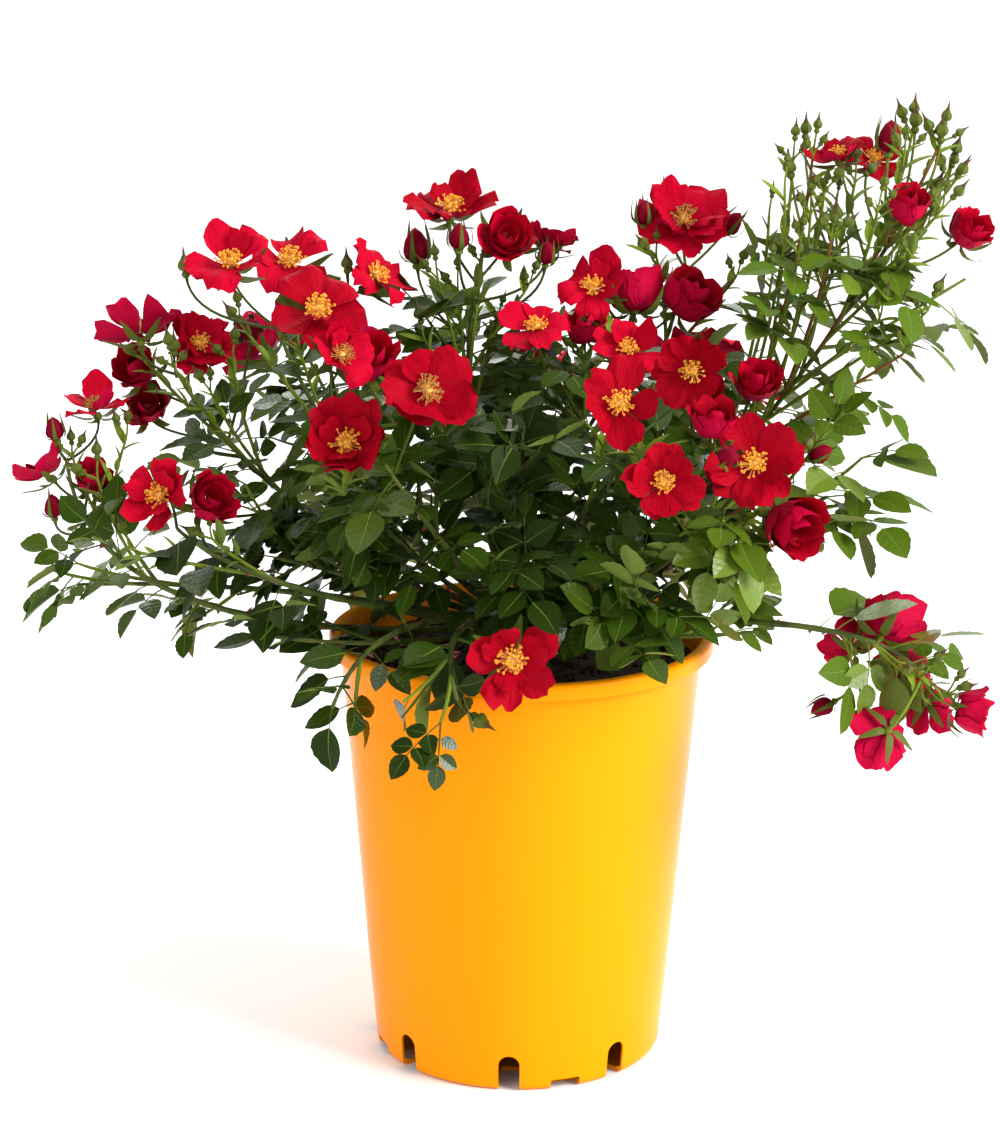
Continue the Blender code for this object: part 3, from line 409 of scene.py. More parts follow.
sepal_green = stalk_finish("sepal_green", paint(84, 96, 30))
sepal_tip = stalk_finish("sepal_tip", paint(82, 62, 32))
hip_green = stalk_finish("hip_green", paint(96, 112, 32))

petal_bright = petal_finish("petal_bright", paint(186, 3, 38))
petal_deep = petal_finish("petal_deep", paint(160, 2, 26))
petal_back = petal_finish("petal_back", paint(184, 8, 54))
petal_claw = petal_finish("petal_claw", paint(224, 96, 92))
bud_crimson = petal_finish("bud_crimson", paint(120, 4, 32))
anther_gold = living_material("anther_gold", paint(240, 166, 40), 0.6, 1500.0, 0.0001)
anther_old = living_material("anther_old", paint(160, 108, 50), 0.7, 1500.0, 0.0001)
filament_gold = living_material("filament_gold", paint(246, 200, 96), 0.55, 1500.0, 0.0001)
print("all finishes made:", len(bpy.data.materials))

# %% [markdown]
# ## Making a piece
#
# Every finished piece is one object at the origin with its place in its mesh. The helper takes a
# bmesh, gives it its finishes, shades it smooth but keeps real corners, and says which solids it
# stands for. Small shapes that come again and again are made once and stamped in.

# %% Helpers for pieces
MERGE_DISTANCE = 0.01 * MM


def add_object(name, data):
    """A new object at the origin, linked to the scene."""
    made = bpy.data.objects.new(name, data)
    bpy.context.scene.collection.objects.link(made)
    return made


def as_template(bm, name):
    """Turn a bmesh into a mesh that can be stamped or shown."""
    mesh = bpy.data.meshes.new(name)
    bm.to_mesh(mesh)
    bm.free()
    return mesh


def make_piece(name, bm, materials, nodes=(), corner=40):
    """Finish a piece; an edge stays sharp from the angle called corner, in degrees."""
    mesh = as_template(bm, name)
    for material in materials:
        mesh.materials.append(material)
    mesh.shade_smooth()
    mesh.set_sharp_from_angle(angle=math.radians(corner))
    piece = add_object(name, mesh)
    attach(piece, "root")
    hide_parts(*nodes)
    triangles = sum(len(face.vertices) - 2 for face in mesh.polygons)
    print(f"{name:16} {triangles:7} triangles, stands for {len(nodes)} solids")


def sheet_bmesh():
    """An empty bmesh whose faces keep the UV map of what is stamped into it."""
    bm = bmesh.new()
    bm.loops.layers.uv.new("UVMap")
    return bm


def stamp(bm, template, place, finish=0):
    """Add one copy of a template at a place, its first finish swapped for another."""
    copy = template.copy()
    copy.transform(place)
    for face in copy.polygons:
        if face.material_index == 0:
            face.material_index = finish
    bm.from_mesh(copy)
    bpy.data.meshes.remove(copy)


def coat(bm, finish):
    """Give every face the same finish."""
    for face in bm.faces:
        face.material_index = finish


def pour(bm, part, finish):
    """Add a small bmesh to a piece in one of its finishes."""
    coat(part, finish)
    scratch = as_template(part, "scratch")
    bm.from_mesh(scratch)
    bpy.data.meshes.remove(scratch)


def spin_profile(profile, steps):
    """Turn a profile from axis to axis into a closed solid."""
    bm = bmesh.new()
    points = [bm.verts.new((radius, 0.0, height)) for radius, height in profile]
    edges = [bm.edges.new(pair) for pair in zip(points, points[1:])]
    bmesh.ops.spin(
        bm, geom=points + edges, cent=(0.0, 0.0, 0.0), axis=UP,
        angle=math.tau, steps=steps, use_merge=True,
    )
    bmesh.ops.remove_doubles(bm, verts=bm.verts, dist=MERGE_DISTANCE)
    bmesh.ops.recalc_face_normals(bm, faces=bm.faces)
    return bm


def random_way(rng):
    """A vector whose three parts each lie between -1 and 1."""
    return Vector((rng.uniform(-1, 1), rng.uniform(-1, 1), rng.uniform(-1, 1)))


def arc(centre, radius, first, last, steps):
    """Points of an arc in a profile, from one angle to another in degrees."""
    points = []
    for step in range(steps + 1):
        turn = math.radians(first + (last - first) * step / steps)
        points.append((centre[0] + radius * math.cos(turn), centre[1] + radius * math.sin(turn)))
    return points


# %% [markdown]
# ## The pot
#
# A nursery pot is a thin shell: flat base, tapering wall and a rim rolled outwards that stiffens
# it. It is a body of revolution, so a profile is drawn once, up the inside, over the rim and down
# the outside, and spun round the axis. Arcs round the rim and the foot.

# %% Turn the pot
POT_HEIGHT = 226 * MM
RIM_RADIUS = 100 * MM
RIM_DROP = 8 * MM
RIM_ROLL = 2.2 * MM
SKIRT_CORNER = 0.6 * MM
SKIRT_HOLLOW = 1.0 * MM
WALL_TOP_RADIUS = 94 * MM
BASE_RADIUS = 76 * MM
FOOT_CORNER = 4 * MM
WALL = 1.6 * MM
FLOOR = 2.0 * MM
SHOULDER = POT_HEIGHT - RIM_DROP
WALL_RINGS = (60 * MM, 120 * MM, 180 * MM)
POT_STEPS = 144


def wall_radius(height):
    """Outer radius of the tapering wall."""
    return BASE_RADIUS + (WALL_TOP_RADIUS - BASE_RADIUS) * (height / SHOULDER)


def pot_profile():
    """Radius and height of each point, from the middle of the floor to that of the underside."""
    inner_rings = (FOOT_CORNER, *WALL_RINGS[:2], SHOULDER - 3 * MM)
    inside = [(0.0, FLOOR), (BASE_RADIUS - FOOT_CORNER - WALL, FLOOR)]
    inside += [(wall_radius(height) - WALL, height) for height in inner_rings]
    lip = arc((RIM_RADIUS - 2 * RIM_ROLL, POT_HEIGHT - RIM_ROLL), RIM_ROLL, 150, 90, 3)
    roll = arc((RIM_RADIUS - RIM_ROLL, POT_HEIGHT - RIM_ROLL), RIM_ROLL, 90, 0, 6)
    skirt = arc((RIM_RADIUS - SKIRT_CORNER, SHOULDER + SKIRT_CORNER), SKIRT_CORNER, 0, -90, 3)
    hollow = arc((WALL_TOP_RADIUS + SKIRT_HOLLOW, SHOULDER - SKIRT_HOLLOW), SKIRT_HOLLOW, 90, 180, 3)
    outside = [(wall_radius(height), height) for height in reversed(WALL_RINGS)]
    foot = arc((BASE_RADIUS - FOOT_CORNER, FOOT_CORNER), FOOT_CORNER, 8, -90, 6)
    return inside + lip + roll + skirt + hollow + outside + foot + [(0.0, 0.0)]


pot_shell = spin_profile(pot_profile(), POT_STEPS)
print("pot shell faces:", len(pot_shell.faces))

# %% [markdown]
# ### Drain slots
#
# Water leaves through eight arched slots that run from the wall into the underside, and four
# shallow notches lift the foot. They are cut with a Boolean: each cutter is a block, and the
# arch is a bevel on its two upper edges.

# %% Cut the slots and notches
# How many openings there are, the turn of the first in degrees, their width and height, how far
# in they reach and how much of the width the bevel on each side takes.
Opening = namedtuple("Opening", "count turn width height inner_radius bevel")
SLOTS = Opening(8, -3.2, 11 * MM, 20 * MM, 50 * MM, 0.48)
NOTCHES = Opening(4, 19.3, 16 * MM, 5.7 * MM, 66 * MM, 0.08)
CUTTER_OUTER_RADIUS = 90 * MM
CUTTER_BELOW = 5 * MM
BEVEL_STEPS = 8


def drain_cutter(opening, index):
    """The block that cuts one opening out of the foot."""
    turn = math.radians(opening.turn) + index * math.tau / opening.count
    depth = CUTTER_OUTER_RADIUS - opening.inner_radius
    tall = opening.height + CUTTER_BELOW
    bm = bmesh.new()
    bmesh.ops.create_cube(bm, size=1.0, matrix=Matrix.Diagonal((opening.width, depth, tall, 1.0)))
    top_edges = [
        edge for edge in bm.edges
        if all(vertex.co.z > 0 for vertex in edge.verts)
        and edge.verts[0].co.x * edge.verts[1].co.x > 0
    ]
    bmesh.ops.bevel(
        bm, geom=top_edges, offset=opening.bevel * opening.width, segments=BEVEL_STEPS,
        profile=0.5, affect="EDGES", material=-1,
    )
    bm.transform(
        Matrix.Rotation(math.pi + turn, 4, "Z")
        @ Matrix.Translation((0.0, opening.inner_radius + depth / 2, opening.height - tall / 2))
    )
    bm.normal_update()
    return bm


def cut_away(bm, cutter_bm, name):
    """Apply a Boolean difference and give the cut shape back as a bmesh."""
    body = add_object(name, as_template(bm, name))
    cutter = add_object(name + "_cutter", as_template(cutter_bm, name + "_cutter"))
    cut = body.modifiers.new("cut", "BOOLEAN")
    cut.operation = "DIFFERENCE"
    cut.object = cutter
    cut.solver = "EXACT"
    graph = bpy.context.evaluated_depsgraph_get()
    result = bmesh.new()
    result.from_mesh(bpy.data.meshes.new_from_object(body.evaluated_get(graph)))
    for made in (body, cutter):
        bpy.data.objects.remove(made, do_unlink=True)
    return result


cutters = bmesh.new()
for opening in (SLOTS, NOTCHES):
    for index in range(opening.count):
        pour(cutters, drain_cutter(opening, index), 0)
pot_bm = cut_away(pot_shell, cutters, "pot_blank")
make_piece("pot_shell", pot_bm, [pot_plastic], ["pot"], corner=35)

# %% [markdown]
# ## Compost
#
# The compost fills the pot to just under the rim. Its top is uneven, so the spun disc is finely
# divided and each point is lifted by noise. Crumbs of peat and chips of bark, each a small
# squashed ball, are then scattered by a seeded rule.

# %% Fill the pot
COMPOST_TOP = 213 * MM
COMPOST_BOTTOM = 23 * MM
COMPOST_GAP = 0.3 * MM
COMPOST_RINGS = 44
COMPOST_STEPS = 120

# How far the top sinks at the wall; then, for its lumps and for its grain, how many there are
# to the metre and how high they stand.
COMPOST_SINK = 3.5 * MM
LUMP_BEAT, LUMP_HEIGHT = 45, 2.2 * MM
GRAIN_BEAT, GRAIN_HEIGHT = 210, 1.1 * MM


def fill_radius(height):
    """Radius of the compost, just clear of the pot's inner wall."""
    return wall_radius(height) - WALL - COMPOST_GAP


def compost_height(x, y):
    """Height of the uneven surface at a point, sinking a little towards the wall."""
    edge = math.hypot(x, y) / WALL_TOP_RADIUS
    lump = noise.noise(Vector((x * LUMP_BEAT, y * LUMP_BEAT, 3.0))) * LUMP_HEIGHT
    grain = noise.noise(Vector((x * GRAIN_BEAT, y * GRAIN_BEAT, 7.0))) * GRAIN_HEIGHT
    return COMPOST_TOP - COMPOST_SINK * edge * edge + lump + grain


edge_radius = fill_radius(COMPOST_TOP)
rings = [edge_radius * (1 - ring / COMPOST_RINGS) for ring in range(COMPOST_RINGS + 1)]
compost_profile = [(0.0, COMPOST_BOTTOM), (fill_radius(COMPOST_BOTTOM), COMPOST_BOTTOM)]
compost_profile += [(radius, COMPOST_TOP) for radius in rings]
compost_bm = spin_profile(compost_profile, COMPOST_STEPS)
for vertex in compost_bm.verts:
    if vertex.co.z > COMPOST_BOTTOM + MM:
        vertex.co.z = compost_height(vertex.co.x, vertex.co.y)
make_piece("compost_bed", compost_bm, [compost_soil], ["compost"], corner=60)

# %% Scatter the crumbs
CRUMB_COUNT = 700
CRUMB_DENTS = (0.65, 1.15)
CRUMB_SIZES = (0.8, 2.6)
CRUMB_LENGTHS = (0.8, 1.6)
CRUMB_HEIGHTS = (0.45, 0.9)
CRUMB_EDGE = 3 * MM
PEAT_FINISH, CHIP_FINISH = range(2)


def crumb_shape(variant, finish):
    """A dented ball, 1 in radius."""
    bm = bmesh.new()
    bmesh.ops.create_icosphere(bm, subdivisions=1, radius=1.0)
    rng = random.Random(f"crumb {variant}")
    for vertex in bm.verts:
        vertex.co *= rng.uniform(*CRUMB_DENTS)
    coat(bm, finish)
    return as_template(bm, f"crumb_{variant}")


crumb_shapes = [crumb_shape(variant, PEAT_FINISH) for variant in range(3)]
crumb_shapes.append(crumb_shape(3, CHIP_FINISH))
crumb_bm = bmesh.new()
rng = random.Random("compost crumbs")
for index in range(CRUMB_COUNT):
    reach = (edge_radius - CRUMB_EDGE) * math.sqrt(rng.random())
    turn = rng.uniform(0, math.tau)
    x, y = reach * math.cos(turn), reach * math.sin(turn)
    size = rng.uniform(*CRUMB_SIZES) * MM
    spot = Vector((x, y, compost_height(x, y) + 0.2 * size))
    tilt = Quaternion(random_way(rng), rng.uniform(0, 3))
    squash = Vector((size * rng.uniform(*CRUMB_LENGTHS), size, size * rng.uniform(*CRUMB_HEIGHTS)))
    stamp(crumb_bm, rng.choice(crumb_shapes), Matrix.LocRotScale(spot, tilt, squash))
make_piece("compost_crumbs", crumb_bm, [peat_crumb, bark_chip])

# %% [markdown]
# ## Lines of growth
#
# A cane, twig or stalk is a curve through a start, a bend and an end. Frames are set along it
# with the least twist, and a polygon is extruded from frame to frame, so the limb tapers as it
# goes. The same few functions draw everything from the thickest cane to a leaf's own stalk.

# %% Curves and limbs
CROWN_CENTRE = Vector((0.0, 0.0, 228 * MM))
CROWN_RADIUS = 19 * MM
GAP = 0.3 * MM
CANE_GAP = 1.3 * GAP
CANE_TIP_RADIUS = 2.1 * MM
STEM_TIP_RADIUS = 1.5 * MM


def curve_point(start, bend, end, share):
    """Point of a smooth curve drawn by a start, a bend and an end."""
    return start.lerp(bend, share).lerp(bend.lerp(end, share), share)


def curve_heading(start, bend, end, share):
    """The way the curve runs at a share of it."""
    return (bend - start).lerp(end - bend, share).normalized()


def curve_frames(start, bend, end, first, last, steps):
    """Frames along part of the curve: Z follows it, and the twist is least."""
    frames = []
    for step in range(steps + 1):
        share = first + (last - first) * step / steps
        heading = curve_heading(start, bend, end, share)
        if step == 0:
            turn = heading.to_track_quat("Z", "Y")
        else:
            turn = old_heading.rotation_difference(heading) @ turn
        old_heading = heading
        frames.append(Matrix.LocRotScale(curve_point(start, bend, end, share), turn, None))
    return frames


def sweep(frames, radii, sides):
    """A tapering rod with flat ends, extruded from frame to frame."""
    bm = bmesh.new()
    sized = [place @ Matrix.Scale(radius, 4) for place, radius in zip(frames, radii)]
    bmesh.ops.create_circle(bm, cap_ends=True, segments=sides, radius=1.0, matrix=sized[0])
    end_face = bm.faces[:][0]
    for previous, current in zip(sized, sized[1:]):
        is_first = len(bm.faces) == 1
        grown = bmesh.ops.extrude_face_region(bm, geom=[end_face])["geom"]
        if not is_first:
            bm.faces.remove(end_face)
        end_face = next(item for item in grown if isinstance(item, bmesh.types.BMFace))
        bmesh.ops.transform(bm, matrix=current @ previous.inverted(), verts=end_face.verts)
    bm.normal_update()
    bmesh.ops.recalc_face_normals(bm, faces=bm.faces)
    return bm


def taper(first, last, steps):
    """Radii that run evenly from the first to the last."""
    return [first + (last - first) * step / steps for step in range(steps + 1)]


class Arch:
    """The line a shoot follows: from the crown, past its bend, to its tip."""

    def __init__(self, shoot):
        self.shoot = shoot
        self.name = shoot.name
        self.bend = Vector(shoot.bend) * MM
        self.tip = Vector(shoot.tip) * MM
        away = (self.bend - CROWN_CENTRE).normalized()
        self.foot = CROWN_CENTRE + away * (CROWN_RADIUS + GAP)
        self.length = (self.bend - self.foot).length + (self.tip - self.bend).length
        self.has_cane = shoot.enter > 0
        self.stem_from = shoot.enter + (CANE_GAP / self.length if self.has_cane else 0.0)

    def point(self, share):
        return curve_point(self.foot, self.bend, self.tip, share)

    def heading(self, share):
        return curve_heading(self.foot, self.bend, self.tip, share)

    def stem_share(self, along):
        """The share of the whole line that a share of the stem stands for."""
        return self.stem_from + (1.0 - self.stem_from) * along

    def radius(self, share):
        """Thickness of cane and stem together at a share of the whole line."""
        thick = self.shoot.radius * MM
        if not self.has_cane:
            return thick + (STEM_TIP_RADIUS - thick) * share
        if share < self.shoot.enter:
            return thick + (CANE_TIP_RADIUS - thick) * share / self.shoot.enter
        rest = (share - self.shoot.enter) / (1.0 - self.shoot.enter)
        return CANE_TIP_RADIUS + (STEM_TIP_RADIUS - CANE_TIP_RADIUS) * rest


arches = [Arch(shoot) for shoot in SHOOTS]
masses = [arch.name for arch in arches]
cane_solids = ["cane_" + arch.name for arch in arches if arch.has_cane]
longest = max(arch.length for arch in arches)
print("canes:", len(cane_solids), "longest shoot mm:", round(longest / MM))

# %% [markdown]
# ## The crown
#
# Canes rise from a knobbly stump that has thickened year by year. A finely divided ball is pushed
# in and out by noise, and cut flat just under the top of the compost.

# %% Crown
CROWN_SINK = 2 * MM

# Three sizes of knob: how many to the metre, and how far they stand out as a share.
CROWN_KNOBS = ((60, 0.10), (180, 0.05), (540, 0.02))

crown_bm = bmesh.new()
bmesh.ops.create_uvsphere(crown_bm, u_segments=48, v_segments=28, radius=CROWN_RADIUS)
for vertex in crown_bm.verts:
    knob = sum(height * noise.noise(vertex.co * beat) for beat, height in CROWN_KNOBS)
    vertex.co *= 1.0 + knob
bmesh.ops.translate(crown_bm, vec=CROWN_CENTRE, verts=crown_bm.verts)
bmesh.ops.bisect_plane(
    crown_bm, geom=crown_bm.verts[:] + crown_bm.edges[:] + crown_bm.faces[:],
    plane_co=(0.0, 0.0, COMPOST_TOP - CROWN_SINK), plane_no=UP, clear_inner=True,
)
bmesh.ops.holes_fill(crown_bm, edges=crown_bm.edges, sides=0)
make_piece("crown_stump", crown_bm, [crown_bark], ["crown"], corner=60)

# %% [markdown]
# ## Canes with bark and prickles
#
# Each cane and the stem it carries on into are one limb on the plant, so they are drawn as one,
# from inside the crown to the tip. Leaf joints swell it every few centimetres, and noise ripples
# the bark. Prickles are small hooked cones set at uneven distances round the cane.

# %% Canes
CANE_STEP = 4 * MM
CANE_LEAST_STEPS = 12
CANE_SIDES = 10
CANE_ROOT = 5 * MM
FOOT_SWELLING = 1.25
JOINT_SPACING = 21 * MM
CANE_SLIMMING = 0.86
TIP_SLIMMING = 0.60
JOINT_SWELLING = 0.18
JOINT_SHARPNESS = 8
BARK_RIPPLE = 0.10

# Ripples of the bark to the metre: across the cane, and fewer along it.
RIPPLE_BEAT = (420, 420, 130)


def barked_limb(arch):
    """A cane and its stem with swollen joints and rippled bark."""
    steps = max(CANE_LEAST_STEPS, int(arch.length / CANE_STEP))
    frames = curve_frames(arch.foot, arch.bend, arch.tip, 0.0, 1.0, steps)
    frames.insert(0, frames[0] @ Matrix.Translation((0.0, 0.0, -CANE_ROOT)))
    radii = [arch.radius(0.0) * FOOT_SWELLING]
    for step in range(steps + 1):
        share = step / steps
        along = share * arch.length
        joint = abs(math.sin(math.pi * along / JOINT_SPACING)) ** JOINT_SHARPNESS
        slim = CANE_SLIMMING + (TIP_SLIMMING - CANE_SLIMMING) * share
        radii.append(arch.radius(share) * slim * (1.0 + JOINT_SWELLING * joint))
    bm = sweep(frames, radii, CANE_SIDES)
    for vertex in bm.verts:
        ripple = noise.noise(vertex.co * Vector(RIPPLE_BEAT))
        vertex.co += vertex.normal * ripple * BARK_RIPPLE * CANE_TIP_RADIUS
    return bm


canes_bm = bmesh.new()
for arch in arches:
    pour(canes_bm, barked_limb(arch), 0)
make_piece("canes_and_stems", canes_bm, [cane_bark], cane_solids, corner=60)

# %% Prickles
PRICKLE_LENGTH = 3.6 * MM
PRICKLE_SIZES = (0.5, 1.0)
PRICKLE_SPACING = 13 * MM
PRICKLE_GAPS = (0.5, 1.8)
PRICKLE_STARTS = (8, 20)
PRICKLES_TO = 0.8
PRICKLE_SINK = 0.9

# Shares of a prickle's length: how thick it is at both ends, how deep it roots, how far its tip
# hooks. Its foot is drawn out along the cane, and the more the nearer to the bark.
PRICKLE_FOOT, PRICKLE_POINT, PRICKLE_ROOT, PRICKLE_HOOK = 0.30, 0.04, 0.05, 0.35
FOOT_STRETCH = 1.5


def prickle_shape():
    """A hooked cone of length 1 along Z, with its foot at the origin."""
    bm = bmesh.new()
    bmesh.ops.create_cone(
        bm, cap_ends=True, segments=5, radius1=PRICKLE_FOOT, radius2=PRICKLE_POINT, depth=1.0,
        matrix=Matrix.Translation((0.0, 0.0, 0.5 - PRICKLE_ROOT)),
    )
    flanks = [edge for edge in bm.edges if abs(edge.verts[0].co.z - edge.verts[1].co.z) > 0.5]
    bmesh.ops.subdivide_edges(bm, edges=flanks, cuts=1)
    for vertex in bm.verts:
        vertex.co.x *= FOOT_STRETCH - vertex.co.z
        vertex.co.x -= PRICKLE_HOOK * max(vertex.co.z, 0.0) ** 2
    return as_template(bm, "prickle")


prickle = prickle_shape()
prickles_bm = bmesh.new()
for arch in arches:
    rng = random.Random(arch.name + " prickles")
    along = rng.uniform(*PRICKLE_STARTS) * MM
    while along < PRICKLES_TO * arch.length:
        share = along / arch.length
        heading = arch.heading(share)
        out = heading.orthogonal().normalized()
        out.rotate(Quaternion(heading, rng.uniform(0, math.tau)))
        basis = Matrix((heading, out.cross(heading), out)).transposed().to_4x4()
        spot = arch.point(share) + out * arch.radius(share) * PRICKLE_SINK
        size = PRICKLE_LENGTH * rng.uniform(*PRICKLE_SIZES)
        stamp(prickles_bm, prickle, Matrix.Translation(spot) @ basis @ Matrix.Scale(size, 4))
        along += PRICKLE_SPACING * rng.uniform(*PRICKLE_GAPS)
make_piece("prickles", prickles_bm, [prickle_horn])

# %% [markdown]
# ## The growth rule
#
# The masses were grown by a seeded rule: twigs and leaves are set in a spiral round each stem, a
# few places are tried for each, and one that would touch a neighbour is skipped. The rule is
# written again here with the same seeds. To know which try was kept, its corners are looked up
# among the solid's own corners.

# %% The rule for twigs and leaves
GOLDEN_ANGLE = math.radians(137.5)
ATTEMPTS = 7
TWIG_LEAVES = 3
TWIG_RADIUS = 1.3 * MM
TWIG_TIP_RADIUS = 1.05 * MM
LEAF_BREADTH = 0.65
LEAF_THICKNESS = 1.3 * MM
LEAF_SINK = 0.5 * MM
LEAF_SHOULDER = -0.28
MATCH = 0.03 * MM

# The growth rule. Twigs start in TWIG_SPAN of their stem and leaves in their own spans
# of the limb; each leans out by an angle within its spread (radians) and may turn
# TURN_SWAY either way round the limb. Lengths vary within the two ranges of shares.
TWIG_SPAN = (0.10, 0.82)
STEM_LEAF_SPAN = (0.05, 0.90)
TWIG_LEAF_SPAN = (0.25, 0.85)
TWIG_SPREAD = (math.radians(45), math.radians(65))
STEM_LEAF_SPREAD = (math.radians(55), math.radians(75))
TWIG_LEAF_SPREAD = (math.radians(50), math.radians(70))
END_LEAF_SPREAD = math.radians(14)
TURN_SWAY = 0.5
TWIG_LENGTHS = (0.75, 1.10)
LEAF_LENGTHS = (0.82, 1.08)

# A twig keeps TWIG_AIM of its own way and turns up by TWIG_RISE. A leaf keeps
# LEAF_RISE of its climb and hangs by LEAF_HANG; its face leans outward and sways.
TWIG_AIM = 0.8
TWIG_RISE = (0.1, 0.5)
LEAF_RISE = 0.8
LEAF_HANG = 0.12
LEAF_LEAN = 0.5
LEAF_SWAY = 0.35

Leaf = namedtuple("Leaf", "root heading face_up length")


def place_in(span, share):
    """The value a share of the way from a span's first to its last."""
    first, last = span
    return first + (last - first) * share


def lean_out(heading, turn, spread):
    """A direction that leans away from a limb by spread, at a turn round the limb."""
    across = heading.orthogonal().normalized()
    across.rotate(Quaternion(heading, turn))
    return heading * math.cos(spread) + across * math.sin(spread)


def twig_curve(arch, index, attempt):
    """Rule for a side twig: set spirally round the stem, leaning out and turning up."""
    rng = random.Random(f"{arch.name} twig {index} {attempt}")
    along = place_in(TWIG_SPAN, (index + rng.random()) / arch.shoot.twigs)
    turn = index * GOLDEN_ANGLE + rng.uniform(-TURN_SWAY, TURN_SWAY) + attempt
    length = arch.shoot.twig * MM * rng.uniform(*TWIG_LENGTHS)
    share = arch.stem_share(along)
    start = arch.point(share)
    away = lean_out(arch.heading(share), turn, rng.uniform(*TWIG_SPREAD))
    bend = start + away * (length / 2)
    onward = away * TWIG_AIM + UP * rng.uniform(*TWIG_RISE)
    end = bend + onward.normalized() * (length / 2)
    return start, bend, end


def leaf_at(rng, length, root, heading, turn, spread):
    """A leaf leaning out of a limb, its face turned up and away from the plant's middle."""
    away = lean_out(heading, turn, spread)
    away.z = away.z * LEAF_RISE - LEAF_HANG
    outward = Vector((root.x, root.y, 0.0)).normalized()
    face_up = (UP + outward * LEAF_LEAN + random_way(rng) * LEAF_SWAY).normalized()
    return Leaf(root, away.normalized(), face_up, length * MM * rng.uniform(*LEAF_LENGTHS))


def stem_leaf(arch, index, attempt):
    """Rule for a leaf on the stem; where no flower does, the first leaf ends the stem."""
    rng = random.Random(f"{arch.name} leaf {index} {attempt}")
    if index == 0 and arch.name not in FLOWERS:
        turn = rng.uniform(0, math.tau)
        return leaf_at(rng, arch.shoot.leaf, arch.tip, arch.heading(1.0), turn, END_LEAF_SPREAD)
    along = place_in(STEM_LEAF_SPAN, (index + rng.random()) / arch.shoot.leaves)
    turn = index * GOLDEN_ANGLE + rng.uniform(-TURN_SWAY, TURN_SWAY) + attempt
    share = arch.stem_share(along)
    spread = rng.uniform(*STEM_LEAF_SPREAD)
    return leaf_at(rng, arch.shoot.leaf, arch.point(share), arch.heading(share), turn, spread)


def twig_leaf(arch, twig_index, twig, index, attempt):
    """Rule for a leaf on a side twig: the first ends the twig, the rest are set along it."""
    rng = random.Random(f"{arch.name} twig leaf {twig_index} {index} {attempt}")
    length = arch.shoot.leaf
    if index == 0:
        turn = rng.uniform(0, math.tau)
        heading = curve_heading(*twig, 1.0)
        return leaf_at(rng, length, twig[2], heading, turn, END_LEAF_SPREAD)
    along = place_in(TWIG_LEAF_SPAN, (index - 1 + rng.random()) / (TWIG_LEAVES - 1))
    turn = index * GOLDEN_ANGLE + rng.uniform(-TURN_SWAY, TURN_SWAY) + attempt
    spread = rng.uniform(*TWIG_LEAF_SPREAD)
    return leaf_at(
        rng, length, curve_point(*twig, along), curve_heading(*twig, along), turn, spread
    )


# %% Find what was kept
def corner_tree(name):
    """Search tree of a solid's corners."""
    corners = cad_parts[name].data.vertices
    tree = KDTree(len(corners))
    for index, vertex in enumerate(corners):
        tree.insert(vertex.co, index)
    tree.balance()
    return tree


def leaf_corners(leaf):
    """The tip and the two shoulders of the plain kite that the solid has for a leaf."""
    side = leaf.heading.cross(leaf.face_up).normalized()
    normal = side.cross(leaf.heading)
    half = (leaf.length + LEAF_SINK) / 2
    middle = leaf.root + leaf.heading * ((leaf.length - LEAF_SINK) / 2) - normal * (LEAF_THICKNESS / 2)
    shoulder = middle + leaf.heading * (LEAF_SHOULDER * half)
    reach = side * (LEAF_BREADTH * leaf.length / 2)
    return [middle + leaf.heading * half, shoulder - reach, shoulder + reach]


def twig_corners(twig):
    """Corners of the plain three-sided rod that the solid has for a twig."""
    rod = sweep(curve_frames(*twig, 0.0, 1.0, 2), taper(TWIG_RADIUS, TWIG_TIP_RADIUS, 2), 3)
    corners = [vertex.co.copy() for vertex in rod.verts]
    rod.free()
    return corners


def is_kept(tree, corners):
    """True where at least two of the corners are also corners of the solid."""
    return sum(tree.find(corner)[2] < MATCH for corner in corners) >= 2


def kept_leaves(tree, count, rule, *limb):
    """For each place along a limb, the first try that is found in the solid."""
    found = []
    for index in range(count):
        for attempt in range(ATTEMPTS):
            leaf = rule(*limb, index, attempt)
            if is_kept(tree, leaf_corners(leaf)):
                found.append(leaf)
                break
    return found


grown_twigs = {}
grown_leaves = {}
for arch in arches:
    tree = corner_tree(arch.name)
    leaves = kept_leaves(tree, arch.shoot.leaves, stem_leaf, arch)
    twigs = []
    for index in range(arch.shoot.twigs):
        for attempt in range(ATTEMPTS):
            twig = twig_curve(arch, index, attempt)
            if is_kept(tree, twig_corners(twig)):
                twigs.append(twig)
                leaves += kept_leaves(tree, TWIG_LEAVES, twig_leaf, arch, index, twig)
                break
    grown_twigs[arch.name] = twigs
    grown_leaves[arch.name] = leaves
kept_count = sum(map(len, grown_leaves.values()))
print("twigs found:", sum(map(len, grown_twigs.values())), "leaves found:", kept_count)

# %% [markdown]
# ## Finer growth
#
# The solids hold only as many leaves as they need for the plant's outline. Here the same rule
# goes on: more leaves and thin twigs are tried along every stem. One is left out where it would
# reach past the plant's tips, hang below its own mass, dip into the pot, stand in front of a
# bloom or stray into the next shoot's room. The long outer shoots stay nearly bare.

# %% Rules of room
RIM_CLEARANCE = 3 * MM
ROOM_SLACK = 12 * MM
REACH_LEFT = -262 * MM
REACH_RIGHT = 246 * MM
OUTLOOK_LENGTH = 70 * MM
OUTLOOK_RISE = 0.25
BACK_BLOOM = 90
STEM_PIECES = 8

stem_points = {
    arch.name: [arch.point(arch.stem_share(step / STEM_PIECES)) for step in range(STEM_PIECES + 1)]
    for arch in arches
}


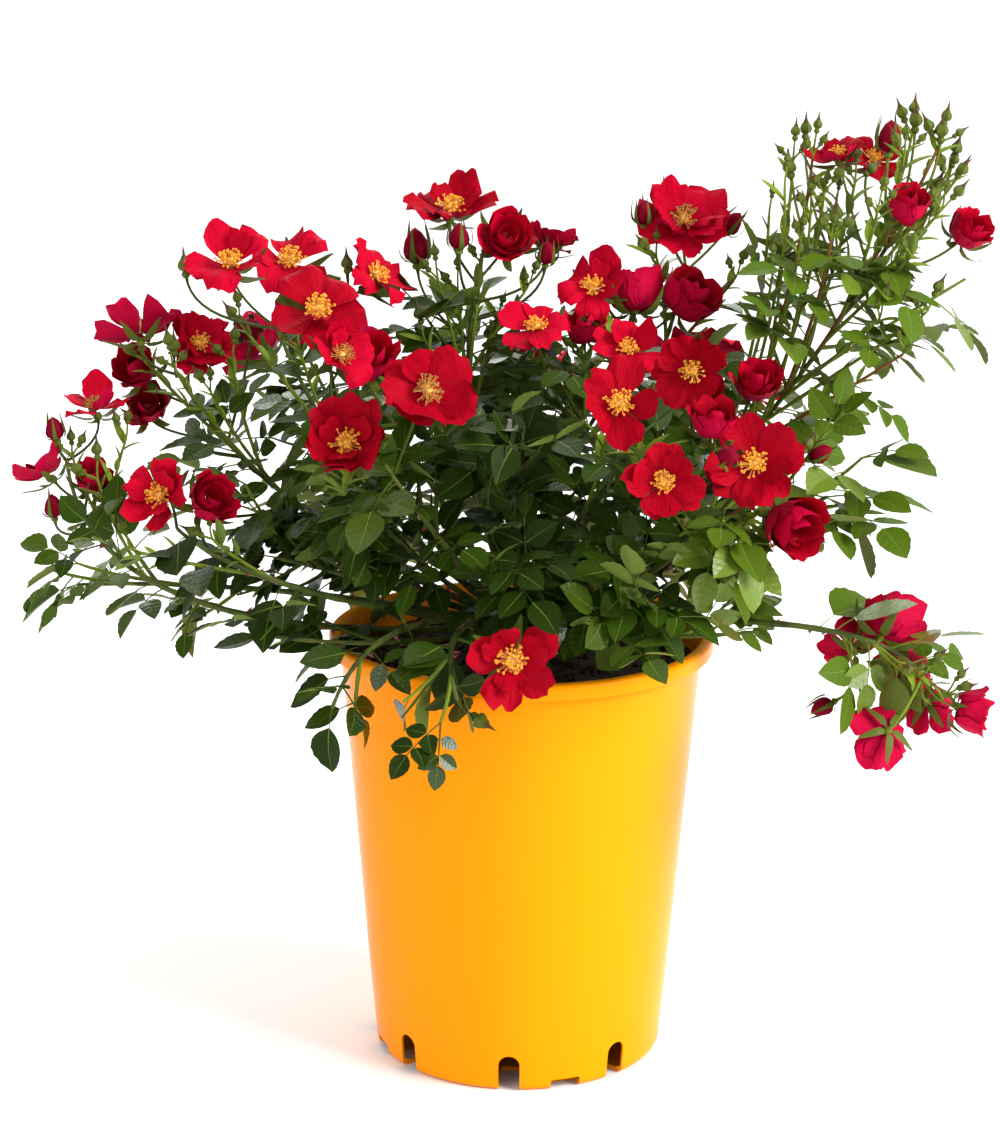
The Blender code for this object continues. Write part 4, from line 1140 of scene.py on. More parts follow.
def flower_frame(flower):
    """Frame at the flower's middle whose Z is the way it faces."""
    turn = math.radians(flower.turn)
    lift = math.radians(flower.lift)
    facing = Vector((math.sin(turn), -math.cos(turn), math.tan(lift))).normalized()
    place = Vector((flower.x, flower.y, flower.z)) * MM
    return Matrix.LocRotScale(place, facing.to_track_quat("Z", "Y"), None)


def outlook(flower):
    """A bloom's middle, the way it must stay open, and half its width."""
    way = Vector((0.0, 1.0 if flower.y > BACK_BLOOM else -1.0, OUTLOOK_RISE)).normalized()
    return Vector((flower.x, flower.y, flower.z)) * MM, way, flower.width / 2 * MM


def needs_outlook(flower):
    """A bud, or a bloom turned away from the side it is seen from, needs none."""
    facing = flower_frame(flower).to_3x3() @ UP
    return flower.form != "bud" and facing.dot(outlook(flower)[1]) > 0


outlooks = [
    outlook(flower) for group in FLOWERS.values() for flower in group if needs_outlook(flower)
]


def hides_bloom(point):
    """True inside a bloom and in the tube that has to stay open in front of it."""
    for middle, way, half in outlooks:
        offset = point - middle
        ahead = offset.dot(way)
        if offset.length < half:
            return True
        if 0 < ahead < OUTLOOK_LENGTH and (offset - way * ahead).length < half:
            return True
    return False


def nearest(points, place):
    return min((point - place).length for point in points)


def has_room(arch, point):
    """True where a point of a new twig or leaf may be."""
    if not REACH_LEFT < point.x < REACH_RIGHT or point.z < arch.shoot.low * MM:
        return False
    if point.xy.length < RIM_RADIUS + RIM_CLEARANCE and point.z < POT_HEIGHT + RIM_CLEARANCE:
        return False
    if hides_bloom(point):
        return False
    own = nearest(stem_points[arch.name], point)
    others = min(nearest(stem, point) for name, stem in stem_points.items() if name != arch.name)
    return own < others + ROOM_SLACK


# %% Grow the finer twigs and leaves
FINE_TWIG_SPAN = (0.25, 0.95)
FINE_TWIG_SHARE = 0.8
FINE_TWIG_RISE = 0.35
FINE_LEAF_SPAN = (0.2, 0.95)
FINE_LEAF_SHARE = 0.92
FINE_SPREAD = (math.radians(50), math.radians(75))
FINE_TWIG_SPREAD = (math.radians(35), math.radians(65))
FINE_TWIG_SPOTS = (0.35, 0.65, 0.98)

# How many twigs and leaves are tried on a shoot, by the first word of its name; a bare shoot is
# given one leaf more, and no twig.
FINE_COUNTS = {"spray": (1, 6), "leaves": (1, 4), "foliage": (4, 18)}
BARE_COUNTS = (0, 1)
BARE_SHOOTS = (
    "spray_left_far", "leaves_left_tip", "spray_left_low", "spray_front_low", "leaves_front_left",
    "foliage_left_low", "foliage_right_low", "leaves_right", "spray_right_low",
)


def try_leaf(arch, rng, root, heading, share=FINE_LEAF_SHARE, spreads=FINE_SPREAD):
    """Grow a leaf where there is room; share is its length against the shoot's leaves."""
    turn, spread = rng.uniform(0, math.tau), rng.uniform(*spreads)
    leaf = leaf_at(rng, arch.shoot.leaf * share, root, heading, turn, spread)
    middle = leaf.root + leaf.heading * (leaf.length / 2)
    if all(has_room(arch, spot) for spot in (middle, *leaf_corners(leaf))):
        grown_leaves[arch.name].append(leaf)


def try_twig(arch, rng):
    """Grow a twig where there is room, then its leaves."""
    share = rng.uniform(*FINE_TWIG_SPAN)
    away = lean_out(arch.heading(share), rng.uniform(0, math.tau), rng.uniform(*FINE_TWIG_SPREAD))
    half = arch.shoot.twig * FINE_TWIG_SHARE * MM * rng.uniform(*TWIG_LENGTHS) / 2
    bend = arch.point(share) + away * half
    onward = (away * TWIG_AIM + UP * FINE_TWIG_RISE).normalized()
    twig = (arch.point(share), bend, bend + onward * half)
    if has_room(arch, twig[1]) and has_room(arch, twig[2]):
        grown_twigs[arch.name].append(twig)
        for along in FINE_TWIG_SPOTS:
            try_leaf(arch, rng, curve_point(*twig, along), curve_heading(*twig, along))


for arch in arches:
    twig_count, leaf_count = FINE_COUNTS[arch.name.split("_")[0]]
    if arch.name in BARE_SHOOTS:
        twig_count, leaf_count = BARE_COUNTS
    for index in range(twig_count):
        try_twig(arch, random.Random(f"{arch.name} fine twig {index}"))
    for index in range(leaf_count):
        rng = random.Random(f"{arch.name} fine leaf {index}")
        share = rng.uniform(*FINE_LEAF_SPAN)
        try_leaf(arch, rng, arch.point(share), arch.heading(share))
all_leaves = sum(map(len, grown_leaves.values()))
print("twigs:", sum(map(len, grown_twigs.values())), "leaves in all:", all_leaves)

# %% [markdown]
# ## Side shoots with buds
#
# A cluster rose pushes up sheaves of thin green shoots, each ending in a few small buds. The
# largest sheaf stands at the far right. A side shoot leaves its cane at a given share of its
# length and rises to a given tip, where the buds fan out. One without buds ends in leaves. Each
# row gives that share, the tip in millimetres and the numbers of buds and of leaves.

# %% The table of side shoots
SideShoot = namedtuple("SideShoot", "share x y z buds leaves")

SIDE_SHOOT_ROWS = {
    "spray_front_low": [
        (0.86, -38, -136, 219, 0, 0), (0.70, -56, -132, 228, 0, 1),
    ],
    "leaves_front_left": [
        (0.72, -80, -112, 204, 0, 1),
    ],
    "spray_far_right": [
        (0.50, 136, 28, 466, 3, 2), (0.52, 144, 8, 472, 3, 1), (0.56, 129, -8, 458, 1, 2),
        (0.46, 124, 20, 440, 1, 2), (0.42, 124, -10, 414, 1, 3), (0.62, 143, 0, 442, 3, 1),
        (0.66, 152, -18, 434, 3, 2), (0.72, 160, 38, 444, 2, 1), (0.84, 174, -20, 448, 3, 1),
        (0.92, 196, 32, 478, 2, 0), (0.94, 188, -6, 474, 3, 0), (0.96, 208, 18, 476, 3, 0),
        (0.90, 200, 8, 432, 2, 1), (0.80, 192, -12, 424, 2, 1), (0.66, 176, -22, 394, 2, 1),
        (0.60, 200, -8, 394, 2, 1), (0.50, 190, -16, 376, 2, 1), (0.70, 224, 12, 410, 0, 3),
        (0.60, 150, 6, 452, 3, 1), (0.68, 167, 22, 456, 3, 1), (0.50, 138, -6, 430, 2, 2),
        (0.78, 184, 8, 436, 2, 2), (0.86, 206, -8, 446, 3, 1), (0.90, 214, 26, 458, 3, 0),
    ],
    "leaves_right": [
        (0.50, 146, -42, 336, 0, 4), (0.62, 168, -48, 330, 0, 3),
    ],
    "leaves_left_tip": [
        (0.85, -246, -4, 258, 0, 3), (0.70, -228, -10, 262, 0, 2),
    ],
    "foliage_left": [
        (0.80, -140, -24, 308, 0, 3), (0.60, -124, -14, 302, 0, 3),
    ],
    "spray_right_top": [
        (0.80, 68, 30, 416, 2, 1), (0.70, 108, 36, 404, 2, 1),
    ],
    "spray_top_centre": [
        (0.62, -44, 26, 404, 2, 1), (0.70, 0, 30, 398, 2, 1), (0.55, -50, 10, 376, 1, 2),
        (0.66, -22, 22, 412, 2, 2), (0.60, -34, 30, 398, 2, 3), (0.52, -14, 34, 384, 1, 3),
    ],
    "spray_left_mid": [
        (0.62, -176, -14, 366, 3, 1), (0.55, -158, -10, 352, 2, 2), (0.70, -196, 24, 362, 2, 0),
        (0.60, -150, 20, 362, 2, 1),
    ],
    "spray_left_far": [
        (0.66, -226, -30, 322, 3, 1), (0.60, -212, -40, 312, 2, 1), (0.72, -200, -28, 330, 2, 0),
    ],
    "spray_left_low": [
        (0.62, -188, -90, 290, 1, 2), (0.55, -150, -84, 294, 2, 1),
    ],
    "spray_left_high": [
        (0.60, -142, 0, 384, 2, 1), (0.66, -112, -20, 376, 2, 1),
    ],
    "spray_right_high": [
        (0.70, 30, 0, 372, 2, 1), (0.60, 22, 12, 352, 1, 2),
    ],
    "spray_right_front": [
        (0.60, 112, -92, 312, 2, 1), (0.70, 130, -80, 330, 2, 0), (0.55, 84, -90, 304, 2, 1),
    ],
    "spray_centre_right": [
        (0.60, 40, -62, 338, 1, 2),
    ],
    "spray_right_low": [
        (0.70, 196, -76, 226, 2, 1), (0.80, 210, -70, 216, 2, 0),
    ],
}


# %% Grow the side shoots
SIDE_BOW = 0.12
SIDE_SAG = 0.4
SIDE_LEAF_SPAN = (0.35, 0.85)
SIDE_LEAF_SHARE = 0.85
END_LEAVES = 2
TIP_SPREAD = (math.radians(10), math.radians(35))


def side_line(arch, shoot):
    """Start, bend and end of a side shoot, which first follows its cane and then climbs."""
    start = arch.point(shoot.share)
    end = Vector((shoot.x, shoot.y, shoot.z)) * MM
    bow = (arch.heading(shoot.share) - UP * SIDE_SAG) * (SIDE_BOW * (end - start).length)
    return start, start.lerp(end, 0.5) + bow, end


def grow_side_leaves(arch, rng, shoot, line):
    """Leaves along a side shoot, and two at its tip where it has no buds."""
    for index in range(shoot.leaves):
        along = place_in(SIDE_LEAF_SPAN, (index + rng.random()) / shoot.leaves)
        spot, heading = curve_point(*line, along), curve_heading(*line, along)
        try_leaf(arch, rng, spot, heading, SIDE_LEAF_SHARE)
    for index in range(0 if shoot.buds else END_LEAVES):
        try_leaf(arch, rng, line[2], curve_heading(*line, 1.0), SIDE_LEAF_SHARE, TIP_SPREAD)


side_shoots = {}
for arch in arches:
    shoots = [SideShoot(*row) for row in SIDE_SHOOT_ROWS.get(arch.name, [])]
    side_shoots[arch.name] = [(shoot, side_line(arch, shoot)) for shoot in shoots]
    for index, (shoot, line) in enumerate(side_shoots[arch.name]):
        grow_side_leaves(arch, random.Random(f"{arch.name} side shoot {index}"), shoot, line)
print("side shoots:", sum(map(len, side_shoots.values())))

# %% [markdown]
# ## Leaflets
#
# A rose leaf is made of three to seven leaflets on one stalk. A leaflet is a broad oval with a
# saw-tooth edge, folded along its midrib. It starts as a small grid: each row of points is drawn
# in to the oval's width, every second one pushed out as a tooth, and the middle strip is the
# rib. The UV map is folded along the rib and slanted, so plain bands across it become side
# veins. A copy of the sheet, turned over and welded at the edge, closes it underneath.

# %% Thin closed sheets
WELD_DISTANCE = 1e-5


def close_underneath(bm, thickness, under_finish):
    """Close an open sheet with a copy of itself below, welded along the outline."""
    bm.normal_update()
    outline = [vertex for vertex in bm.verts if vertex.is_boundary]
    offsets = {vertex: -vertex.normal * thickness for vertex in bm.verts if not vertex.is_boundary}
    copied = bmesh.ops.duplicate(bm, geom=bm.verts[:] + bm.edges[:] + bm.faces[:])
    for old, offset in offsets.items():
        copied["vert_map"][old].co += offset
    under = [item for item in copied["geom"] if isinstance(item, bmesh.types.BMFace)]
    bmesh.ops.reverse_faces(bm, faces=under)
    for face in under:
        face.material_index = under_finish
    welds = outline + [copied["vert_map"][vertex] for vertex in outline]
    bmesh.ops.remove_doubles(bm, verts=welds, dist=WELD_DISTANCE)


# %% Leaflet shapes
LEAFLET_COLUMNS = 3
LEAFLET_ROWS = 11
LEAFLET_HALF_WIDTH = 0.35
LEAFLET_THICKNESS = 0.018
LEAFLET_LEAN = 0.05
RIB_HALF_WIDTH = 0.010
LEAST_HALF_WIDTH = 1.3 * RIB_HALF_WIDTH
VEIN_SLANT = 0.6

# Powers that draw the oval: one moves its widest part towards the stalk, one fills it out.
OVAL_SKEW, OVAL_FULLNESS = 0.80, 0.76

# A tooth, and the dip between two teeth: the share of the oval's width, then how far the point
# is pushed towards the tip and how far up, as shares of the leaflet's length.
TOOTH, DIP = (1.02, 0.008, 0.003), (0.975, -0.006, -0.003)
LEAF_FINISH, UNDER_FINISH, RIB_FINISH, STALK_FINISH, SECOND_FINISH = range(5)


def leaflet_shape(name, fold, droop, slimness=1.0):
    """A leaflet of length 1 that starts at the origin and runs along +Y, face up."""
    rng = random.Random(name)
    lean = rng.uniform(-LEAFLET_LEAN, LEAFLET_LEAN)
    bm = sheet_bmesh()
    veins = bm.loops.layers.uv[0]
    bmesh.ops.create_grid(bm, x_segments=LEAFLET_COLUMNS, y_segments=LEAFLET_ROWS, size=0.5)
    for vertex in bm.verts:
        column = round((vertex.co.x + 0.5) * LEAFLET_COLUMNS)
        row = round((vertex.co.y + 0.5) * LEAFLET_ROWS)
        share = row / LEAFLET_ROWS
        across = RIB_HALF_WIDTH * (1.2 - share)
        forward = 0.0
        pleat = 0.0
        if column in (0, LEAFLET_COLUMNS):
            oval = math.sin(math.pi * share ** OVAL_SKEW) ** OVAL_FULLNESS
            reach = LEAFLET_HALF_WIDTH * slimness * oval
            if 0 < row < LEAFLET_ROWS:
                swell, forward, pleat = TOOTH if row % 2 else DIP
                reach *= swell
            across = max(reach, LEAST_HALF_WIDTH)
        vertex.co.x = (across if column > 1 else -across) + lean * math.sin(math.pi * share)
        vertex.co.y = share + forward
        vertex.co.z = fold * across - droop * share * share + pleat
    for face in bm.faces:
        middle = face.calc_center_median()
        is_rib = abs(middle.x - lean * math.sin(math.pi * middle.y)) < RIB_HALF_WIDTH
        face.material_index = RIB_FINISH if is_rib else LEAF_FINISH
        for loop in face.loops:
            beside = abs(loop.vert.co.x)
            loop[veins].uv = (beside, loop.vert.co.y - VEIN_SLANT * beside)
    close_underneath(bm, LEAFLET_THICKNESS, UNDER_FINISH)
    return as_template(bm, name)


leaflet_shapes = [
    leaflet_shape("leaflet_flat", 0.08, 0.05),
    leaflet_shape("leaflet_folded", 0.34, 0.10),
    leaflet_shape("leaflet_drooped", 0.20, 0.20),
    leaflet_shape("leaflet_cupped", 0.26, -0.06),
    leaflet_shape("leaflet_broad", 0.14, 0.12, slimness=1.12),
]
young_shapes = [leaflet_shape("leaflet_young", 0.40, 0.16, slimness=0.42)]
print("faces in one leaflet:", len(leaflet_shapes[0].polygons))

# %% [markdown]
# ## Leaves
#
# The leaflets sit in pairs along a thin stalk that droops a little, with the largest at the end.
# Each is turned and tilted slightly by chance. The tone is dealt out by spray: deep in the middle
# of the bush, which is the older leaves' darker green and painted shade together, mid green on
# the flowering shoots, and fresh green on the new growth at the right.

# %% Put the leaves together
LEAF_GROW = 1.12
LEAF_STALK_RADIUS = 0.48 * MM
LEAF_STALK_TAPER = 0.55
LEAF_STALK_STEPS = 4
LEAF_STALK_ARCH = 0.04
LEAF_STALK_DROOP = 0.14

# How a leaflet sits by chance: degrees from the leaf's stalk, how it droops, its own little
# stalk, how it sways and tilts, and its size.
LEAFLET_SPREAD = (56, 76)
LEAFLET_DROOP = (-0.05, 0.20)
LEAFLET_STALK = 0.02
LEAFLET_SWAY = 0.10
LEAFLET_TILT = 0.28
LEAFLET_SIZES = (0.9, 1.1)
END_DROOP = 0.10

# Where the pairs sit along a leaf, how long their leaflets are, where the last one starts and
# how long it is, all as shares of the leaf's length.
LeafPlan = namedtuple("LeafPlan", "pairs side_length end_start end_length")
LEAF_PLANS = [
    LeafPlan((0.36,), 0.48, 0.57, 0.51),
    LeafPlan((0.38,), 0.46, 0.58, 0.50),
    LeafPlan((0.26, 0.52), 0.35, 0.68, 0.42),
]

# Some leaves of the bare shoots have one leaflet only.
SINGLE_PLAN = LeafPlan((), 0.0, 0.30, 0.72)
SINGLE_SHARE = 0.4

TONES = {
    "fresh": (
        "spray_far_right", "leaves_right", "spray_right_low", "spray_right_front",
        "foliage_right_low", "spray_right_top", "leaves_left_tip",
    ),
    # Deep: the older leaves' darker green, and painted shade for the masses inside, low and at the
    # back.
    "deep": (
        "foliage_centre", "foliage_centre_left", "foliage_left", "foliage_left_low",
        "foliage_front", "leaves_front_left", "spray_front_low", "foliage_back_centre",
        "foliage_right_mid", "foliage_back_left", "foliage_back_right", "spray_left_low",
    ),
}


def tone_of(name):
    """The tone that a mass's leaves are given."""
    return next((tone for tone, names in TONES.items() if name in names), "mid")


def turned_frame(along, up, spot, size):
    """Place for a leaflet: Y runs along it and Z is the side it shows."""
    across = along.cross(up).normalized()
    face = across.cross(along)
    basis = Matrix((across, along, face)).transposed().to_4x4()
    return Matrix.Translation(spot) @ basis @ Matrix.Scale(size, 4)


def add_leaflet(bm, rng, spot, along, up, size, shapes, finish):
    """One leaflet of any of the shapes, turned, tilted and sized a little by chance."""
    sway = random_way(rng)
    along = (along + sway * LEAFLET_SWAY).normalized()
    up = (up + sway.yzx * LEAFLET_TILT).normalized()
    size *= rng.uniform(*LEAFLET_SIZES)
    stamp(bm, rng.choice(shapes), turned_frame(along, up, spot, size), finish)


def add_leaf(bm, rng, leaf, shapes, finish, plan):
    """Stalk, pairs of leaflets and the end leaflet of one leaf."""
    side = leaf.heading.cross(leaf.face_up).normalized()
    up = side.cross(leaf.heading)
    length = leaf.length * LEAF_GROW
    reach = plan.end_start * length
    bend = leaf.root + (leaf.heading * 0.5 + up * LEAF_STALK_ARCH) * reach
    end = leaf.root + (leaf.heading - up * rng.uniform(0.0, LEAF_STALK_DROOP)) * reach
    line = (leaf.root, bend, end)
    radii = taper(LEAF_STALK_RADIUS, LEAF_STALK_TAPER * LEAF_STALK_RADIUS, LEAF_STALK_STEPS)
    pour(bm, sweep(curve_frames(*line, 0.0, 1.0, LEAF_STALK_STEPS), radii, 4), STALK_FINISH)
    for share in plan.pairs:
        share /= plan.end_start
        for hand in (-1, 1):
            spread = math.radians(rng.uniform(*LEAFLET_SPREAD))
            along = curve_heading(*line, share) * math.cos(spread) + side * hand * math.sin(spread)
            droop = up * rng.uniform(*LEAFLET_DROOP)
            spot = curve_point(*line, share) + along * (LEAFLET_STALK * length)
            add_leaflet(bm, rng, spot, along - droop, up, plan.side_length * length, shapes, finish)
    last = curve_heading(*line, 1.0) - up * END_DROOP
    add_leaflet(bm, rng, end, last, up, plan.end_length * length, shapes, finish)


for tone, finishes in LEAF_TONES.items():
    bearers = [name for name in masses if tone_of(name) == tone]
    leaves_bm = sheet_bmesh()
    for name in bearers:
        for index, leaf in enumerate(grown_leaves[name]):
            rng = random.Random(f"{name} leaflets {index}")
            finish = rng.choice((LEAF_FINISH, LEAF_FINISH, SECOND_FINISH))
            is_single = name in BARE_SHOOTS and rng.random() < SINGLE_SHARE
            plan = SINGLE_PLAN if is_single else rng.choice(LEAF_PLANS)
            add_leaf(leaves_bm, rng, leaf, leaflet_shapes, finish, plan)
    stalk = stalk_green if tone == "fresh" else stalk_dark
    make_piece(
        "leaves_" + tone, leaves_bm, [finishes[0], leaf_under, leaf_rib, stalk, finishes[1]],
        bearers, corner=70,
    )

# %% [markdown]
# ## Young leaves
#
# Just under a bloom the leaves stay small, narrow and yellow-green. A tuft of such single
# leaflets is set round the stalk below a few of the flowers in front, and every side shoot that
# bears buds has a few tiny ones, called bracts, where its buds branch off.

# %% Tufts and bracts
YOUNG_TUFTS = {
    "spray_centre_left": (-85, -106, 330),
    "spray_centre_right": (60, -74, 332),
    "spray_right_front": (120, -88, 300),
    "spray_right_high": (46, 0, 372),
}
TUFT_LEAVES = 7
TUFT_RISE = 9
TUFT_SIZES = (14, 25)
TUFT_SPREAD = (30, 80)
BRACTS = 7
BRACT_SPAN = (0.45, 1.0)
BRACT_SIZES = (8, 18)
BRACT_SPREAD = (14, 48)
YOUNG_FORWARD = 0.3


def add_young_leaf(bm, rng, spot, limb, turn, sizes, spread):
    """A single narrow leaflet beside a limb; sizes are in millimetres, spread in degrees."""
    heading = lean_out(limb, turn, math.radians(rng.uniform(*spread)))
    size = rng.uniform(*sizes) * MM
    up = UP + limb * YOUNG_FORWARD
    add_leaflet(bm, rng, spot, heading, up, size, young_shapes, LEAF_FINISH)


young_bm = sheet_bmesh()
for name, (x, y, z) in YOUNG_TUFTS.items():
    rng = random.Random(name + " tuft")
    for index in range(TUFT_LEAVES):
        spot = Vector((x, y, z + rng.uniform(-TUFT_RISE, TUFT_RISE))) * MM
        add_young_leaf(young_bm, rng, spot, UP, index * GOLDEN_ANGLE, TUFT_SIZES, TUFT_SPREAD)
for name, shoots in side_shoots.items():
    for number, (shoot, line) in enumerate(shoots):
        rng = random.Random(f"{name} bracts {number}")
        for index in range(BRACTS if shoot.buds else 0):
            along = place_in(BRACT_SPAN, (index + rng.random()) / BRACTS)
            spot, limb = curve_point(*line, along), curve_heading(*line, along)
            turn = index * GOLDEN_ANGLE
            add_young_leaf(young_bm, rng, spot, limb, turn, BRACT_SIZES, BRACT_SPREAD)
make_piece("young_leaves", young_bm, [leaf_young, leaf_under, leaf_rib], corner=70)

# %% [markdown]
# ## Side twigs
#
# Side twigs and side shoots are thinner than the stems and still green. They are swept like the
# canes, with a slight swelling at every third step. Now and then a side shoot at the right has
# red bark.

# %% Twigs
TWIG_STEPS = 8
TWIG_SIDES = 6
TWIG_JOINT = 1.18
STEPS_TO_JOINT = 3
SIDE_SHOOT_STEPS = 14
SIDE_SHOOT_RADIUS = 1.05 * MM
FOOT_SLIMMING, END_SLIMMING, SIDE_SLIMMING = 0.95, 0.55, 0.7
RED_EVERY = 5
GREEN_BARK, DARK_BARK, RED_BARK = range(3)


def jointed_rod(line, first, last, steps):
    """A tapering twig whose radius swells at its joints."""
    radii = taper(first, last, steps)
    for step in range(0, steps + 1, STEPS_TO_JOINT):
        radii[step] *= TWIG_JOINT
    return sweep(curve_frames(*line, 0.0, 1.0, steps), radii, TWIG_SIDES)


twigs_bm = bmesh.new()
for name in masses:
    is_fresh = tone_of(name) == "fresh"
    for line in grown_twigs[name]:
        rod = jointed_rod(
            line, FOOT_SLIMMING * TWIG_RADIUS, END_SLIMMING * TWIG_TIP_RADIUS, TWIG_STEPS
        )
        pour(twigs_bm, rod, GREEN_BARK if is_fresh else DARK_BARK)
    for index, (shoot, line) in enumerate(side_shoots[name]):
        rod = jointed_rod(
            line, SIDE_SHOOT_RADIUS, SIDE_SLIMMING * SIDE_SHOOT_RADIUS, SIDE_SHOOT_STEPS
        )
        is_red = is_fresh and shoot.buds and index % RED_EVERY == 1
        pour(twigs_bm, rod, RED_BARK if is_red else GREEN_BARK)
make_piece("side_twigs", twigs_bm, [stalk_green, stalk_dark, stalk_red], corner=60)

# %% [markdown]
# ## Petals
#
# A petal is a thin sheet, narrow at the claw and broad and wavy at the rim. Its middle line is a
# curve of reach against height: low and flat for an open bloom, steep for a cup. A grid is bent
# to that line, its corners are rounded and its edge dips into a notch, so five of them leave
# small gaps between their tips.

# %% Petal shapes
PETAL_COLUMNS = 7
PETAL_ROWS = 5
PETAL_VARIANTS = 5
PETAL_THICKNESS = 0.02
CRIMP_BEAT = 8.5
CLAW_REACH = 0.17
CLAW_WIDTH = 0.12
BROAD_FROM = 0.75
DENT_WIDTH = 0.30
CORNER_ROUNDING = 0.30
EDGE_WAVE = 0.65

# Ranges that make every petal of a form differ: the beat of its waves, how deep its crimped rim
# and its notch are (as shares of the ruffle), where the notch sits, how the petal twists, how
# its sides curl back and how broad it is.
WAVE_BEATS = (3.5, 6.5)
CRIMPS = (0.2, 0.45)
NOTCH_DEPTHS, NOTCH_SIDES = (0.1, 1.2), (-0.35, 0.35)
TWISTS, CURLS = (-0.14, 0.18), (-0.16, 0.24)
BREADTHS = (0.84, 1.10)
BRIGHT_FINISH, BACK_FINISH, CLAW_FINISH, DEEP_FINISH = range(4)

# Reach and height of a petal's middle line, as shares of half the bloom's width, then the half
# width of the petal, how far its edge ruffles and how much it wraps round the bloom's axis.
PetalForm = namedtuple("PetalForm", "line half_width ruffle wrap")
PETAL_FORMS = {
    "flat": ([(0.05, -0.10), (0.42, -0.14), (0.74, 0.18), (1.04, 0.14)], 0.48, 0.14, 0.35),
    "folded_back": ([(0.05, -0.10), (0.42, 0.02), (0.84, 0.28), (0.96, -0.16)], 0.46, 0.12, 0.3),
    "raised": ([(0.05, -0.10), (0.42, -0.12), (0.70, 0.30), (0.84, 0.56)], 0.48, 0.14, 0.5),
    "inner": ([(0.05, -0.05), (0.30, -0.02), (0.48, 0.30), (0.66, 0.36)], 0.32, 0.12, 0.5),
    "cup_outer": ([(0.08, -0.50), (0.96, -0.66), (0.66, 0.44), (1.12, 0.56)], 0.72, 0.11, 1.0),
    "cup_inner": ([(0.06, -0.42), (0.76, -0.48), (0.54, 0.46), (0.78, 0.72)], 0.60, 0.10, 1.0),
    "cup_heart": ([(0.04, -0.30), (0.48, -0.30), (0.40, 0.40), (0.34, 0.70)], 0.44, 0.07, 1.0),
}


def along_line(line, share):
    """Point of a smooth line drawn by four control points."""
    rest = 1.0 - share
    weights = (rest ** 3, 3 * rest * rest * share, 3 * rest * share * share, share ** 3)
    return sum((Vector(point) * weight for point, weight in zip(line, weights)), Vector((0.0, 0.0)))


def petal_shape(name, form):
    """A petal beside the Z axis, its middle line over +Y.

    Side runs from -1 to 1 across the petal and out from 0 to 1 along it. The powers of out say
    how near to the rim each effect sets in.
    """
    rng = random.Random(name)
    phase, beat = rng.uniform(0, math.tau), rng.uniform(*WAVE_BEATS)
    crimp_phase, crimp = rng.uniform(0, math.tau), rng.uniform(*CRIMPS) * form.ruffle
    notch, notch_side = rng.uniform(*NOTCH_DEPTHS) * form.ruffle, rng.uniform(*NOTCH_SIDES)
    twist, curl = rng.uniform(*TWISTS), rng.uniform(*CURLS)
    broad = form.half_width * rng.uniform(*BREADTHS)
    bm = sheet_bmesh()
    bmesh.ops.create_grid(
        bm, x_segments=PETAL_COLUMNS, y_segments=PETAL_ROWS, size=0.5, calc_uvs=True
    )
    for vertex in bm.verts:
        side, out = 2 * vertex.co.x, (vertex.co.y + 0.5) ** 0.85
        corner = 1 - CORNER_ROUNDING * out * abs(side) ** 2.6
        rim = math.sin(CRIMP_BEAT * side + crimp_phase) * crimp * out ** 4
        dent = notch * math.exp(-((side - notch_side) / DENT_WIDTH) ** 2) * out ** 5
        radius, height = along_line(form.line, out * corner - dent + rim)
        opened = math.sin(min(out / BROAD_FROM, 1.0) * math.pi / 2) ** 1.2
        width = broad * place_in((CLAW_WIDTH, 1.0), opened)
        angle = side * width / max(radius, CLAW_WIDTH) * form.wrap
        shift = side * width * (1 - form.wrap)
        swing = math.sin(beat * side + phase) * (1 - EDGE_WAVE + EDGE_WAVE * abs(side))
        wave = form.ruffle * out ** 1.6 * swing
        height += wave - rim + twist * side * radius - curl * out * abs(side) ** 3 * radius
        vertex.co = (radius * math.sin(angle) + shift, radius * math.cos(angle), height)
    for face in bm.faces:
        if face.calc_center_median().xy.length < CLAW_REACH:
            face.material_index = CLAW_FINISH
    close_underneath(bm, PETAL_THICKNESS, BACK_FINISH)
    return as_template(bm, name)


petal_shapes = {
    kind: [petal_shape(f"{kind}_petal_{n}", PetalForm(*form)) for n in range(PETAL_VARIANTS)]
    for kind, form in PETAL_FORMS.items()
}
print("petal shapes:", sum(map(len, petal_shapes.values())))

# %% [markdown]
# ## Stamens
#
# In the middle of an open bloom stands a ring of golden stamens, each a thread with a grain of
# pollen on its end, round a small pale knob of styles. Three fresh rings and one with browned
# grains are made and stamped into the blooms.

# %% Stamen rings
STAMEN_COUNT = 58

# Sizes as shares of half the bloom's width. A thread stands on a small ring, leans out by some
# degrees and bears one grain; the knob of styles is in the middle.
STAMEN_LEANS = (6, 70)
THREAD_LENGTHS = (0.18, 0.33)
THREAD_FOOT = (0.05, 0.0, -0.04)
THREAD_RADII = (0.012, 0.009)
GRAIN_SIZE = (0.054, 0.036, 0.034)
KNOB_HEIGHT = 0.02
KNOB_SIZE = (0.12, 0.12, 0.10)
THREAD_FINISH, GRAIN_FINISH, OLD_GRAIN_FINISH = range(3)


